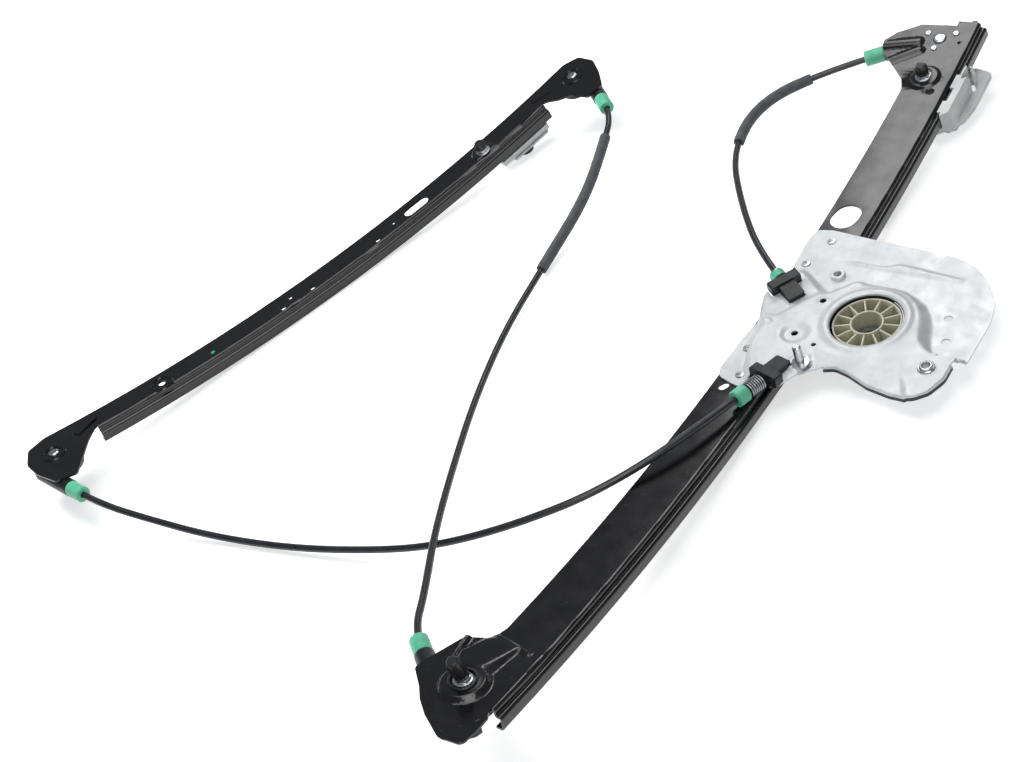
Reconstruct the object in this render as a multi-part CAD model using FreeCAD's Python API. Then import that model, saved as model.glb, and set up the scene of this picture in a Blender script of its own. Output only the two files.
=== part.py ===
import FreeCAD, Part
import math
import os

from FreeCAD import Vector

# Twin-rail cable window regulator of a front door, lying on its glass side, in millimetres.
# The origin is on the cable drum's axis, inside the bore that the motor drives.
# +Z points to the cabin, along the drum axis, and +Y runs up the main rail.
# Each rail is drawn in its own frame: x across the web from its left edge, y up the rail,
# z = 0 on the web's cabin face, with y = 0 where the bent rail is lowest.

# Rails: one bend radius, folded sheet
bend_radius = 1630.0
sheet = 1.5
fold_inside = 0.8
step_height = 5.0
rail_depth = 15.0
turned_lip = 6.0
edge_lip = 3.0
main_web = 35.4
main_ledge = 3.8
side_web = 22.0
side_ledge = 3.4
main_flange_low = -393.0
main_flange_high = 306.0
side_flange_low = -205.0
side_flange_high = 262.0

# Where the two rails lie in the part's frame
main_edge_x = -78.7
main_low_y = 6.9
side_edge_x = -491.9
side_low_y = -70.3
side_level = -1.5
side_turn = -20.26

# Cable, its pulleys and their pins
cable_radius = 0.8
cable_drop = 8.0
main_line_x = 20.8
side_line_x = 9.5
pulley_width = 6.0
pulley_rim = 1.8
groove_clearance = 0.1
pin_radius = 3.0
running_clearance = 0.05
moving_gap = 0.35

# Pulley centres and the places of the conduit sleeves, in the rail frames (x, y up the rail)
main_low_pulley = (5.8, -384.1)
main_high_pulley = (9.2, 286.6)
side_low_pulley = (25.0, -244.8)
side_high_pulley = (20.3, 298.3)
main_low_sleeve = (-44.8, -365.0)
main_high_sleeve = (-40.6, 270.5)
side_low_sleeve = (73.8, -247.2)
side_high_sleeve = (68.2, 292.6)

# Pulley housings and conduit ends
housing_wall = 2.0
housing_gap = 0.7
socket_radius = 6.6
nose_radius = 4.6
nose_length = 7.0
sleeve_radius = 6.25
sleeve_length = 16.0
conduit_radius = 2.6
foam_radius = 4.6
bore_clearance = 0.4

# Motor plate
plate_sheet = 1.5
pan_height = 6.0
pan_draft = 2.6
opening_radius = 26.0
rim_width = 5.0
rim_radius = opening_radius + rim_width
rim_height = 0.9
collar_depth = 3.0

# Cable drum, its steel insert and the cover
drum_radius = 24.5
drum_top = 1.5
drum_height = 15.5
drum_rim = 2.0
drum_ribs = 13
rib_width = 1.5
hub_radius = 12.0
drive_bore = 10.3
insert_outer = 9.0
insert_height = 5.0
insert_teeth = 18
insert_root = 6.2
insert_tip = 5.0
pitch_radius = 24.0
high_groove = -4.0
low_groove = -10.0
cover_gap = 2.0
cover_wall = 2.0
axial_gap = 0.3
spigot_radius = 4.6

# Conduit outlets on the plate: where their outer faces lie, and their heights
upper_outlet_at = (-75.5, 21.0)
lower_outlet_at = (-42.5, -72.0)
upper_outlet_z = 8.2
lower_outlet_z = 8.0

# Studs and rivets
stud_radius = 3.0
stud_height = 20.0
stud_flange = 7.0
cap_radius = 4.3
rivet_head = 4.2

# Glass carriers
main_carrier_at = 233.5
side_carrier_at = 229.0
main_carrier_half = 28.5
side_carrier_half = 26.0
carrier_floor = 20.0
foot_sheet = 3.5
claw_reach = 2.8
claw_height = 3.0


def v(x, y, z=0.0):
    """Short name for a point."""
    return Vector(x, y, z)


def forward(shape):
    """Give back the solid with its faces pointing outwards."""
    if shape.Volume < 0:
        shape.reverse()
    return shape


def joined(points, radii, closed=True):
    """Edges of straight runs joined by tangent arcs, one radius at each point."""
    count = len(points)
    cuts = []
    for i, corner in enumerate(points):
        if not closed and i in (0, count - 1):
            cuts.append((corner, corner, None))
            continue
        back = (points[i - 1] - corner).normalize()
        ahead = (points[(i + 1) % count] - corner).normalize()
        turn = math.pi - back.getAngle(ahead)
        if radii[i] <= 0 or turn < 1e-4:
            cuts.append((corner, corner, None))
            continue
        trim = radii[i] * math.tan(turn / 2)
        inward = (back + ahead).normalize()
        middle = corner + inward * (radii[i] / math.cos(turn / 2) - radii[i])
        cuts.append((corner + back * trim, corner + ahead * trim, middle))
    edges = []
    for i, (arrive, leave, middle) in enumerate(cuts):
        if middle:
            edges.append(Part.Arc(arrive, middle, leave).toShape())
        if closed or i < count - 1:
            follow = cuts[(i + 1) % count][0]
            if leave.distanceToPoint(follow) > 1e-6:
                edges.append(Part.LineSegment(leave, follow).toShape())
    return edges


def outline(points, radius, z=0.0):
    """Closed plan wire at height z; a point may carry its own corner radius."""
    corners = [v(p[0], p[1], z) for p in points]
    radii = [p[2] if len(p) > 2 else radius for p in points]
    return Part.Wire(joined(corners, radii))


def prism(points, radius, low, high):
    """Upright prism on a plan outline."""
    return forward(Part.Face(outline(points, radius, low)).extrude(v(0, 0, high - low)))


def disc(radius, low, high, x=0.0, y=0.0):
    """Upright cylinder."""
    return Part.makeCylinder(radius, high - low, v(x, y, low))


def turned(points, x=0.0, y=0.0):
    """Solid turned about an upright axis from its (radius, height) outline."""
    corners = [v(r, 0, z) for r, z in points]
    face = Part.Face(Part.makePolygon(corners + corners[:1]))
    solid = forward(face.revolve(v(0, 0), v(0, 0, 1), 360))
    solid.translate(v(x, y))
    return solid


def fused(shapes):
    """One solid from pieces that meet."""
    return shapes[0].fuse(shapes[1:]).removeSplitter()


def bent(face, low, high):
    """Sweep a section (in the XZ plane) along the rail's bend between two lengths."""
    centre = v(0, 0, bend_radius)
    section = face.copy()
    section.rotate(centre, v(1, 0, 0), math.degrees(low / bend_radius))
    return forward(section.revolve(centre, v(1, 0, 0), math.degrees((high - low) / bend_radius)))


def section_face(points, radii=None):
    """Face in the XZ plane from (x, z) points."""
    corners = [v(x, 0, z) for x, z in points]
    return Part.Face(Part.Wire(joined(corners, radii or [0] * len(points))))


def bent_slab(left, right, bottom, top, low, high):
    """Block that follows the rail's bend."""
    corners = [(left, bottom), (right, bottom), (right, top), (left, top)]
    return bent(section_face(corners), low, high)


def at_rail(shape, length):
    """Carry a shape drawn on the web at y = 0 along the bend to a length up the rail."""
    moved = shape.copy()
    moved.rotate(v(0, 0, bend_radius), v(1, 0, 0), math.degrees(length / bend_radius))
    return moved


def on_main(shape):
    """Place a main-rail shape in the part's frame."""
    moved = shape.copy()
    moved.translate(v(main_edge_x, main_low_y, 0))
    return moved


def on_side(shape):
    """Place a side-rail shape in the part's frame."""
    moved = shape.copy()
    moved.rotate(v(0, 0, 0), v(0, 0, 1), side_turn)
    moved.translate(v(side_edge_x, side_low_y, side_level))
    return moved


def tube(edges, radius):
    """Round solid swept along tangent edges."""
    path = Part.Wire(edges)
    start = path.OrderedEdges[0]
    direction = start.tangentAt(start.FirstParameter)
    ring = Part.Wire(Part.makeCircle(radius, start.valueAt(start.FirstParameter), direction))
    return forward(path.makePipeShell([ring], True, True))


def rod(start, end, radius):
    """Straight round bar between two points."""
    return Part.makeCylinder(radius, start.distanceToPoint(end), start, end - start)


def save(name, shape):
    """Write one named piece."""
    shape.exportStep("parts/" + name + ".step")


# Folded rail section

def folded_section(path, inside):
    """Face of a folded sheet whose outer face follows (x, z) points; the sheet is on the right."""
    normals = []
    for (x0, z0), (x1, z1) in zip(path, path[1:]):
        length = math.hypot(x1 - x0, z1 - z0)
        normals.append(((z1 - z0) / length, -(x1 - x0) / length))
    inner = []
    outer_radii = [0]
    inner_radii = [0]
    for i, (x, z) in enumerate(path):
        before = normals[max(i - 1, 0)]
        after = normals[min(i, len(normals) - 1)]
        scale = sheet / (1 + before[0] * after[0] + before[1] * after[1])
        inner.append((x + (before[0] + after[0]) * scale, z + (before[1] + after[1]) * scale))
        if 0 < i < len(path) - 1:
            right_turn = before[0] * after[1] - before[1] * after[0] < 0
            outer_radii.append(inside + sheet if right_turn else inside)
            inner_radii.append(inside if right_turn else inside + sheet)
    outer_radii.append(0)
    inner_radii.append(0)
    return section_face(path + inner[::-1], outer_radii + inner_radii[::-1])


def rail_section(web, ledge):
    """Section from the web's step outwards: step, ledge, outer wall and turned lip."""
    wall = web + ledge
    path = [(web / 2, 0), (web, 0), (web, -step_height), (wall, -step_height),
            (wall, -rail_depth), (wall - turned_lip, -rail_depth)]
    return folded_section(path, fold_inside)


def left_edge_section(web):
    """Section of the left half of the web with its short turned edge."""
    return folded_section([(0, -edge_lip), (0, 0), (web / 2, 0)], fold_inside)


def ring_bead(x, inner, outer, height):
    """Raised ring pressed in the web round a pin or stud, drawn at y = 0."""
    return turned([(inner, -sheet / 2), (outer, -sheet / 2), (outer, 0), (outer - 0.8, height),
                   (inner + 0.8, height), (inner, 0)], x)


def rib_bead(start, end, wide, narrow, height):
    """Raised tapering rib pressed in the web, from its wide to its narrow end."""
    along = (end - start).normalize()
    across = v(-along.y, along.x)
    low = [start + across * wide, end + across * narrow, end - across * narrow, start - across * wide]
    inset = 0.7
    top = [start + across * (wide - inset) + along * inset, end + across * (narrow - inset / 2) - along * inset,
           end - across * (narrow - inset / 2) - along * inset, start - across * (wide - inset) + along * inset]
    base = Part.makePolygon([p - v(0, 0, sheet / 2) for p in low + low[:1]])
    crest = Part.makePolygon([p + v(0, 0, height) for p in top + top[:1]])
    return forward(Part.makeLoft([base, crest], True, True))


def rail(web, ledge, low, high, edge_low, edge_high, plan, holes, beads):
    """One bent rail: folded flange, flat web cut to its plan, and pressed beads."""
    wall = web + ledge
    reach = 80.0
    ends = [y for x, y, *rest in plan]
    sheet_blank = bent_slab(-reach, reach + wall, -sheet, 0, min(ends) - 5, max(ends) + 5)
    web_plate = sheet_blank.common(prism(plan, 6.0, -5, 70))
    body = fused([web_plate, bent(rail_section(web, ledge), low, high),
                  bent(left_edge_section(web), edge_low, edge_high)])
    for shape, length in beads:
        body = body.fuse(at_rail(shape, length))
    for shape, length in holes:
        body = body.cut(at_rail(shape, length))
    return body.removeSplitter()


def hole(x, radius):
    """Cutter for a round hole at x on the web."""
    return disc(radius, -10, 10, x)


def slot_hole(x, width, length, turn=0.0):
    """Cutter for an oval hole at x on the web, its length along the rail before any turn."""
    radius = min(width, length) / 2 - 0.01
    corners = [(-width / 2, -length / 2), (width / 2, -length / 2), (width / 2, length / 2), (-width / 2, length / 2)]
    cutter = prism(corners, radius, -10, 10)
    cutter.rotate(v(0, 0), v(0, 0, 1), turn)
    cutter.translate(v(x, 0))
    return cutter


# Pulley heads: a pulley, its housing, and the cable's way out to the conduit sleeve

class Head:
    """Geometry of one pulley head, drawn in the web's plane at the pulley."""

    def __init__(self, pulley, sleeve, line_x, upper):
        self.x = pulley[0]
        self.length = pulley[1]
        self.radius = abs(line_x - pulley[0])
        self.line_right = line_x > pulley[0]
        self.start = 0.0 if self.line_right else math.pi
        self.turn = 1 if self.line_right == upper else -1
        self.upper = upper
        reach = v(sleeve[0] - pulley[0], sleeve[1] - pulley[1])
        self.distance = reach.Length
        bearing = math.atan2(reach.y, reach.x)
        leave = bearing - self.turn * math.acos(self.radius / self.distance)
        self.sweep = ((leave - self.start) * self.turn) % (2 * math.pi)
        self.leave = v(self.x + self.radius * math.cos(leave), self.radius * math.sin(leave), -cable_drop)
        self.nose = v(self.x + reach.x, reach.y, -cable_drop)
        self.out = (self.nose - self.leave).normalize()

    def on_arc(self, share):
        """Point of the cable's arc round the pulley, from the rail line (0) to the exit (1)."""
        angle = self.start + self.turn * self.sweep * share
        return v(self.x + self.radius * math.cos(angle), self.radius * math.sin(angle), -cable_drop)

    def pulley(self):
        """Grooved pulley with a bore that runs on its pin."""
        rim = self.radius + pulley_rim
        root = self.radius - cable_radius - groove_clearance
        half = pulley_width / 2
        groove_half = half - 0.8
        bore = pin_radius + running_clearance
        return turned([(bore, -half), (rim, -half), (rim, -groove_half), (root, -0.8), (root, 0.8),
                       (rim, groove_half), (rim, half), (bore + 4, half), (bore + 4, half - 0.8),
                       (bore, half - 0.8)], self.x).translated(v(0, 0, -cable_drop))

    def housing(self):
        """Plastic housing under the web: floor, wall open to the rail, and the conduit socket."""
        inner = self.radius + pulley_rim + housing_gap
        outer = inner + housing_wall
        top = -sheet
        shelf = -cable_drop - pulley_width / 2 - axial_gap
        floor = shelf - housing_wall
        cup = disc(outer, floor, top, self.x).cut(disc(inner, shelf, top + 1, self.x))
        mouth = Part.makeBox(2 * outer, 2 * outer, top - shelf + 5, v(self.x - outer, 0, shelf))
        if self.upper:
            mouth.translate(v(0, -2 * outer, 0))
        shift = outer - 2.5 if self.line_right else -(outer - 2.5)
        mouth.translate(v(shift, 0, 0))
        across = v(-self.out.y, self.out.x)
        tail = self.leave + self.out * 2
        socket = rod(tail, self.nose - self.out * nose_length, socket_radius)
        web_cut = Part.makeBox(400, 400, 50, v(-200, -200, top))
        body = cup.fuse(socket.cut(disc(inner, shelf, 20, self.x))).cut(web_cut)
        foot = v(self.leave.x, self.leave.y) + self.out * 4
        end = v(self.nose.x, self.nose.y) - self.out * (nose_length + 1)
        strip = [foot - across * socket_radius * 0.7, end - across * socket_radius * 0.7,
                 end + across * socket_radius * 0.7, foot + across * socket_radius * 0.7]
        gusset = prism([(p.x, p.y) for p in strip], 0, floor, -cable_drop).cut(disc(inner, shelf, 20, self.x))
        body = body.fuse([gusset, rod(self.nose - self.out * (nose_length + 2), self.nose, nose_radius)])
        body = body.cut(mouth)
        passage = rod(self.leave - self.out * 4, self.nose + self.out, cable_radius + bore_clearance)
        pin_hole = disc(pin_radius, floor - 1, 0, self.x)
        return body.cut(passage).cut(pin_hole).removeSplitter()

    def rivet_pin(self):
        """Pulley pin riveted over the housing floor and over the web."""
        shelf = -cable_drop - pulley_width / 2 - axial_gap
        floor = shelf - housing_wall
        head = rivet_head
        return turned([(0, floor - 1.6), (head * 0.7, floor - 1.6), (head, floor - 0.8), (head, floor),
                       (pin_radius, floor), (pin_radius, 0.0), (head, 0.0), (head, 0.8),
                       (head * 0.7, 1.6), (0, 1.6)], self.x)

    def sleeve(self):
        """Conduit end sleeve pushed over the housing's nose."""
        start = self.nose - self.out * nose_length
        end = start + self.out * sleeve_length
        body = rod(start, end, sleeve_radius)
        rim_edges = [e for e in body.Edges if e.Curve.TypeId == "Part::GeomCircle"]
        body = body.makeChamfer(0.6, rim_edges)
        bore = rod(start - self.out, self.nose, nose_radius)
        return body.cut(bore).cut(rod(start, end + self.out, conduit_radius))

    def end(self, place):
        """Where the conduit starts and its outward direction, in the part's frame."""
        marker = Part.makeLine(self.nose, self.nose + self.out * 10)
        edge = place(at_rail(marker, self.length)).Edges[0]
        first = edge.valueAt(edge.FirstParameter)
        return first, (edge.valueAt(edge.LastParameter) - first).normalize()


def rail_cable(high, low, line_x):
    """Inner cable from the upper conduit nose, round both pulleys, to the lower nose."""
    def lifted(point, length):
        return at_rail(Part.Vertex(point), length).Point

    def wrap(head):
        return [lifted(head.on_arc(share), head.length) for share in (0, 0.5, 1)]

    top = wrap(high)
    bottom = wrap(low)
    middle = lifted(v(line_x, 0, -cable_drop), (high.length + low.length) / 2)
    edges = [Part.LineSegment(lifted(high.nose, high.length), top[2]).toShape(),
             Part.Arc(top[2], top[1], top[0]).toShape(),
             Part.Arc(top[0], middle, bottom[0]).toShape(),
             Part.Arc(bottom[0], bottom[1], bottom[2]).toShape(),
             Part.LineSegment(bottom[2], lifted(low.nose, low.length)).toShape()]
    return tube(edges, cable_radius)


main_high = Head(main_high_pulley, main_high_sleeve, main_line_x, True)
main_low = Head(main_low_pulley, main_low_sleeve, main_line_x, False)
side_high = Head(side_high_pulley, side_high_sleeve, side_line_x, True)
side_low = Head(side_low_pulley, side_low_sleeve, side_line_x, False)
heads = [("main_upper", main_high, on_main), ("main_lower", main_low, on_main),
         ("side_upper", side_high, on_side), ("side_lower", side_low, on_side)]

for name, head, place in heads:
    save(name + "_pulley", place(at_rail(head.pulley(), head.length)))
    save(name + "_housing", place(at_rail(head.housing(), head.length)))
    save(name + "_sleeve", place(at_rail(head.sleeve(), head.length)))
    if name != "main_lower":
        save(name + "_pin", place(at_rail(head.rivet_pin(), head.length)))

save("main_rail_cable", on_main(rail_cable(main_high, main_low, main_line_x)))
save("side_rail_cable", on_side(rail_cable(side_high, side_low, side_line_x)))

# Main rail
main_wall = main_web + main_ledge
main_stud = (13.0, 244.0)
fold_room = 2.6
main_plan = [(main_web - fold_room, main_flange_low + 1, 1), (main_web, main_flange_low - 3, 2), (36, -406), (35, -419, 4),
             (19, -420.5, 9), (0.5, -410), (-10.5, -401.5), (-18, -393.5), (-31.5, -382, 4), (-25.5, -366, 4),
             (-20.5, -351.5, 3), (-6, -345.5), (0, -333, 12),
             (0, 230, 12), (-5, 241), (-20, 256, 12), (-31, 266, 4), (-36, 279, 3), (-28, 288.5, 4),
             (-11, 298.5), (28, 300, 2), (28.5, main_flange_high, 1), (main_web - fold_room, main_flange_high, 1)]
window = slot_hole(14.4, 21.0, 25.0, -14.0)
main_holes = [(window, 94.0), (slot_hole(9.0, 6.0, 8.0, -30.0), -87.7), (hole(23.7, 3.4), 230.6),
              (hole(26.4, 1.6), 283.7), (hole(main_high.x, pin_radius), main_high.length),
              (hole(main_low.x, pin_radius), main_low.length), (hole(main_stud[0], stud_radius), main_stud[1])]
small_rivets_at = [(-2.2, 291.3), (20.3, 293.0), (-6.5, 276.0)]
small_rivet_radius = 1.4
for x, length in small_rivets_at:
    main_holes.append((hole(x, small_rivet_radius), length))
main_beads = [(ring_bead(main_stud[0], 8.0, 11.5, 1.4), main_stud[1]),
              (ring_bead(main_low.x, 8.4, 12.6, 1.8), main_low.length),
              (rib_bead(v(20, 14), v(32, 42), 4.2, 1.6, 2.6), main_low.length),
              (rib_bead(v(-14, 17), v(-16, 31), 2.8, 1.2, 2.2), main_low.length),
              (rib_bead(v(-17, -4), v(-28, 5), 1.8, 1.0, 1.4), main_low.length),
              (rib_bead(v(12, -19), v(28, -12), 1.8, 1.0, 1.4), main_low.length)]
main_rail = rail(main_web, main_ledge, main_flange_low, main_flange_high, -325, 222,
                 main_plan, main_holes, main_beads)

# Side rail
side_wall = side_web + side_ledge
side_stud = (16.0, 195.0)
side_plan = [(side_web - fold_room, side_flange_low + 1, 1), (23, side_flange_low - 4, 3), (32, -217), (48, -228),
             (64, -239, 3), (60, -256, 3), (40, -264), (24, -266, 12), (6, -259), (0, -243), (0, 302, 10), (7, 315),
             (25, 318.5, 10), (43, 311), (58, 302, 3), (57, 286, 3), (40, 281), (31, 271), (24, side_flange_high + 4, 3),
             (side_web - fold_room, side_flange_high - 1, 1)]
side_holes = [(slot_hole(13.5, 10.0, 25.0), 118.9), (hole(11.9, 1.6), 94.6), (hole(18.0, 2.2), 73.7),
              (hole(18.0, 2.2), 4.2), (hole(10.8, 1.8), -14.9), (hole(18.0, 2.2), -25.8),
              (hole(14.3, 3.1), -143.1), (hole(side_high.x, pin_radius), side_high.length),
              (hole(side_low.x, pin_radius), side_low.length), (hole(side_stud[0], stud_radius), side_stud[1])]
side_beads = [(ring_bead(14.3, 6.6, 10.4, 1.2), -143.1),
              (ring_bead(side_low.x, 6.6, 10.6, 1.2), side_low.length),
              (ring_bead(side_high.x, 6.6, 10.6, 1.2), side_high.length),
              (rib_bead(v(18, 22), v(10, 44), 2.6, 1.2, 1.6), side_low.length),
              (rib_bead(v(14, -22), v(9, -42), 2.6, 1.2, 1.6), side_high.length)]
side_rail = rail(side_web, side_ledge, side_flange_low, side_flange_high, -232, 296,
                 side_plan, side_holes, side_beads)
save("side_rail", on_side(side_rail))


# Studs with their push-on caps, and the stud that is also the main lower pulley's pin

def stud(x):
    """Weld stud with a round flange on the web, its end crimped under the web."""
    return turned([(0, -sheet - 0.8), (stud_radius + 1, -sheet - 0.8), (stud_radius + 1, -sheet),
                   (stud_radius, -sheet), (stud_radius, 0), (stud_flange, 0), (stud_flange, 1.4),
                   (stud_radius, 2.2), (stud_radius, stud_height - 0.8),
                   (stud_radius - 0.8, stud_height), (0, stud_height)], x)


def pivot_stud(head):
    """Shouldered stud: pulley pin below the web, collar and thread above it."""
    floor = -cable_drop - pulley_width / 2 - axial_gap - housing_wall
    return turned([(0, floor - 1.6), (rivet_head * 0.7, floor - 1.6), (rivet_head, floor - 0.8), (rivet_head, floor),
                   (pin_radius, floor), (pin_radius, 0), (stud_flange, 0), (stud_flange, 3.2),
                   (stud_flange - 1, 4.2), (stud_radius, 4.6), (stud_radius, stud_height - 0.8),
                   (stud_radius - 0.8, stud_height), (0, stud_height)], head.x)


def stud_cap(x, seat):
    """Ribbed push-on cap over a stud."""
    low = seat
    high = stud_height + 1.5
    body = turned([(stud_radius, low), (cap_radius + 0.7, low), (cap_radius + 0.7, low + 1.5),
                   (cap_radius - 0.5, low + 2.0), (cap_radius - 0.5, high - 0.8), (cap_radius - 1.3, high),
                   (0, high), (0, stud_height), (stud_radius, stud_height)])
    ribs = 8
    for i in range(ribs):
        rib = Part.makeBox(1.0, 1.0, high - low - 3.2, v(cap_radius - 1.0, -0.5, low + 1.8))
        rib.rotate(v(0, 0), v(0, 0, 1), i * 360 / ribs)
        body = body.fuse(rib)
    body = body.removeSplitter()
    body.translate(v(x, 0))
    return body


save("main_upper_stud", on_main(at_rail(stud(main_stud[0]), main_stud[1])))
save("main_lower_stud", on_main(at_rail(pivot_stud(main_low), main_low.length)))
save("side_stud", on_side(at_rail(stud(side_stud[0]), side_stud[1])))
save("stud_caps", Part.makeCompound([
    on_main(at_rail(stud_cap(main_stud[0], 2.4), main_stud[1])),
    on_main(at_rail(stud_cap(main_low.x, 6.0), main_low.length)),
    on_side(at_rail(stud_cap(side_stud[0], 2.4), side_stud[1]))]))


def small_rivet(x, length):
    """Small solid rivet through the web and into the housing below."""
    body = turned([(0, -sheet), (small_rivet_radius, -sheet), (small_rivet_radius, 0), (2.2, 0),
                   (2.2, 0.6), (1.4, 1.1), (0, 1.1)], x)
    return on_main(at_rail(body, length))


save("head_rivets", Part.makeCompound([small_rivet(x, length) for x, length in small_rivets_at]))

# Motor plate: base sheet bent with the rail, raised pan round the drum, turned flange
plate_plan = [(-59.4, -79.0, 5), (-77.3, -73.6, 6), (-80.5, -66.0, 4), (-76.5, -25.0), (-84.0, 6.0, 3),
              (-79.5, 26.0, 4), (-78.8, 44.0, 3), (-77.0, 83.0, 5), (-66.0, 84.0, 6), (-30.0, 80.8, 20),
              (0.0, 79.1, 20), (34.0, 76.0, 20), (52.0, 68.5, 8), (64.0, 57.0, 16), (74.5, 43.0, 14),
              (78.5, 24.0, 14), (78.0, -17.7, 3), (76.0, -21.0, 1), (71.5, -19.5, 1), (73.5, -33.0, 10),
              (69.0, -48.0, 12), (57.0, -58.5, 10), (41.4, -58.5, 10), (10.9, -49.8, 20), (-4.0, -47.5, 12),
              (-15.6, -56.9, 10), (-26.0, -66.0, 10), (-32.0, -79.0, 2)]
pan_plan = [(-52, -70, 3), (-70, -40, 4), (-74, -24, 6), (-82, 3, 2), (-78.5, 24, 3), (-68, 35, 3), (-41, 20, 5),
            (-22, 33), (-4, 39, 12), (17, 36, 12), (31, 25, 12), (41, 9, 12), (45, -8, 8), (51, -18, 6),
            (45, -30, 6), (45, -54, 4), (34, -53), (10, -46.5, 20), (-4, -44.5, 12), (-14, -52, 8),
            (-23, -62, 8), (-29, -76, 2)]
boss_at = (-41.3, 40.2)
bush_at = (56.5, -30.5)
dimple_at = (-44.3, -22.3)
plate_stud_at = (-25.6, -49.4)
pan_holes_at = [(-37.9, 10.4, 2.2), (-25.1, -30.8, 1.8)]
arm_holes_at = [(50.4, 19.1), (57.3, -1.8)]
rivets_at = [(-62.2, 72.7), (-70.5, 47.1), (-71.0, -43.3), (-63.1, -68.9)]
plate_rivet_radius = 2.0
flange_drop = 6.0


def inset(points, distance):
    """Plan outline moved inwards by a distance (points run clockwise or counter-clockwise)."""
    count = len(points)
    area = 0.0
    for i in range(count):
        x0, y0 = points[i - 1][:2]
        x1, y1 = points[i][:2]
        area += x0 * y1 - x1 * y0
    sign = 1 if area > 0 else -1
    moved = []
    for i in range(count):
        x, y = points[i][:2]
        xa, ya = points[i - 1][:2]
        xb, yb = points[(i + 1) % count][:2]
        la = math.hypot(x - xa, y - ya)
        lb = math.hypot(xb - x, yb - y)
        na = (-(y - ya) / la * sign, (x - xa) / la * sign)
        nb = (-(yb - y) / lb * sign, (xb - x) / lb * sign)
        scale = distance / (1 + na[0] * nb[0] + na[1] * nb[1])
        moved.append((x + (na[0] + nb[0]) * scale, y + (na[1] + nb[1]) * scale))
    return moved


def drafted(points, low_inset, high_inset, low, high):
    """Solid between two insets of one outline, for a pressed pan's slanting walls."""
    base = Part.makePolygon([v(x, y, low) for x, y in inset(points, low_inset)] +
                            [v(*inset(points, low_inset)[0], low)])
    crest = Part.makePolygon([v(x, y, high) for x, y in inset(points, high_inset)] +
                             [v(*inset(points, high_inset)[0], high)])
    return forward(Part.makeLoft([base, crest], True, True))


def plate_slab(bottom, top):
    """Block above or in the plate that follows the main rail's bend."""
    slab = bent_slab(-20, 190, bottom, top, -110, 100)
    return on_main(slab)


base_sheet = plate_slab(0, plate_sheet).common(prism(plate_plan, 6.0, -5, 30))
pan_slope = pan_draft / pan_height
pan_outer = drafted(pan_plan, -pan_slope, pan_draft, -1.0, pan_height)
pan_hollow = drafted(pan_plan, plate_sheet - pan_slope, pan_draft + plate_sheet, -1.0, pan_height - plate_sheet)
pan_shell = pan_outer.cut(pan_hollow).common(plate_slab(0, 30))
flange_band = prism(plate_plan, 6.0, -flange_drop, plate_sheet)
flange_band = flange_band.cut(prism(inset(plate_plan, plate_sheet), 4.5, -flange_drop - 1, plate_sheet + 1))
right_side = prism([(73.0, -16.0), (100, -16), (100, 40), (73.0, 40)], 0, -20, 20)
bottom_side = prism([(-2, -47), (42, -48), (60, -47), (74, -20), (90, -20), (90, -90), (-2, -90)], 0, -20, 20)
flange = flange_band.common(right_side.fuse(bottom_side))
plate = fused([base_sheet.cut(pan_hollow), pan_shell, flange])
rim_bead = turned([(opening_radius, pan_height - plate_sheet - collar_depth),
                   (opening_radius + 1.2, pan_height - plate_sheet - collar_depth),
                   (opening_radius + 1.2, pan_height - 1.0), (rim_radius, pan_height - 1.0),
                   (rim_radius, pan_height), (rim_radius - 1, pan_height + rim_height),
                   (opening_radius + 1, pan_height + rim_height), (opening_radius, pan_height)])


# Outlets: each axis is the tangent from the outlet's face to the drum's pitch circle

class Outlet:
    """Axis of one conduit outlet, from the drum's tangent point out to its face."""

    def __init__(self, face, height, groove, side):
        distance = math.hypot(*face)
        bearing = math.atan2(face[1], face[0])
        angle = bearing + side * math.acos(pitch_radius / distance)
        self.tangent = v(pitch_radius * math.cos(angle), pitch_radius * math.sin(angle), groove)
        self.face = v(face[0], face[1], height)
        self.out = (self.face - self.tangent).normalize()
        self.bearing = math.degrees(math.atan2(self.out.y, self.out.x))

    def at(self, distance):
        """Point on the axis, measured outwards from the outlet's face."""
        return self.face + self.out * distance

    def aligned(self, shape):
        """Turn a shape drawn along +X from the origin onto the axis at the face."""
        moved = shape.copy()
        tilt = math.degrees(math.asin(self.out.z))
        moved.rotate(v(0, 0), v(0, 1, 0), -tilt)
        moved.rotate(v(0, 0), v(0, 0, 1), self.bearing)
        moved.translate(self.face)
        return moved


upper_outlet = Outlet(upper_outlet_at, upper_outlet_z, high_groove, 1)
lower_outlet = Outlet(lower_outlet_at, lower_outlet_z, high_groove, -1)
stem_length = 22.0
stem_width = 12.5
stem_low = -5.6
stem_high = 4.0
bar_width = 24.0
bar_depth = 7.0
conduit_depth = 14.0


def block(x0, x1, width, z0, z1):
    """Box along X, centred across Y."""
    return Part.makeBox(x1 - x0, width, z1 - z0, v(x0, -width / 2, z0))


def clip_body(collar):
    """T-shaped outlet clip: stem in the plate's cut-out, cross bar and conduit collar."""
    stem = block(-stem_length, 0, stem_width, stem_low, stem_high)
    stem = stem.makeFillet(1.2, [e for e in stem.Edges if abs(e.tangentAt(e.FirstParameter).z) > 0.9])
    bar = block(-bar_depth, 0, bar_width, -3.0, stem_high + 1.5)
    bar = bar.makeFillet(1.5, [e for e in bar.Edges if abs(e.tangentAt(e.FirstParameter).x) > 0.9])
    nose = rod(v(-1, 0, 0), v(collar, 0, 0), conduit_radius + 2.0)
    body = stem.fuse([bar, nose])
    body = body.cut(rod(v(-conduit_depth, 0, 0), v(collar + 1, 0, 0), conduit_radius))
    return body.cut(rod(v(-stem_length - 1, 0, 0), v(0, 0, 0), cable_radius + bore_clearance)).removeSplitter()


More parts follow.
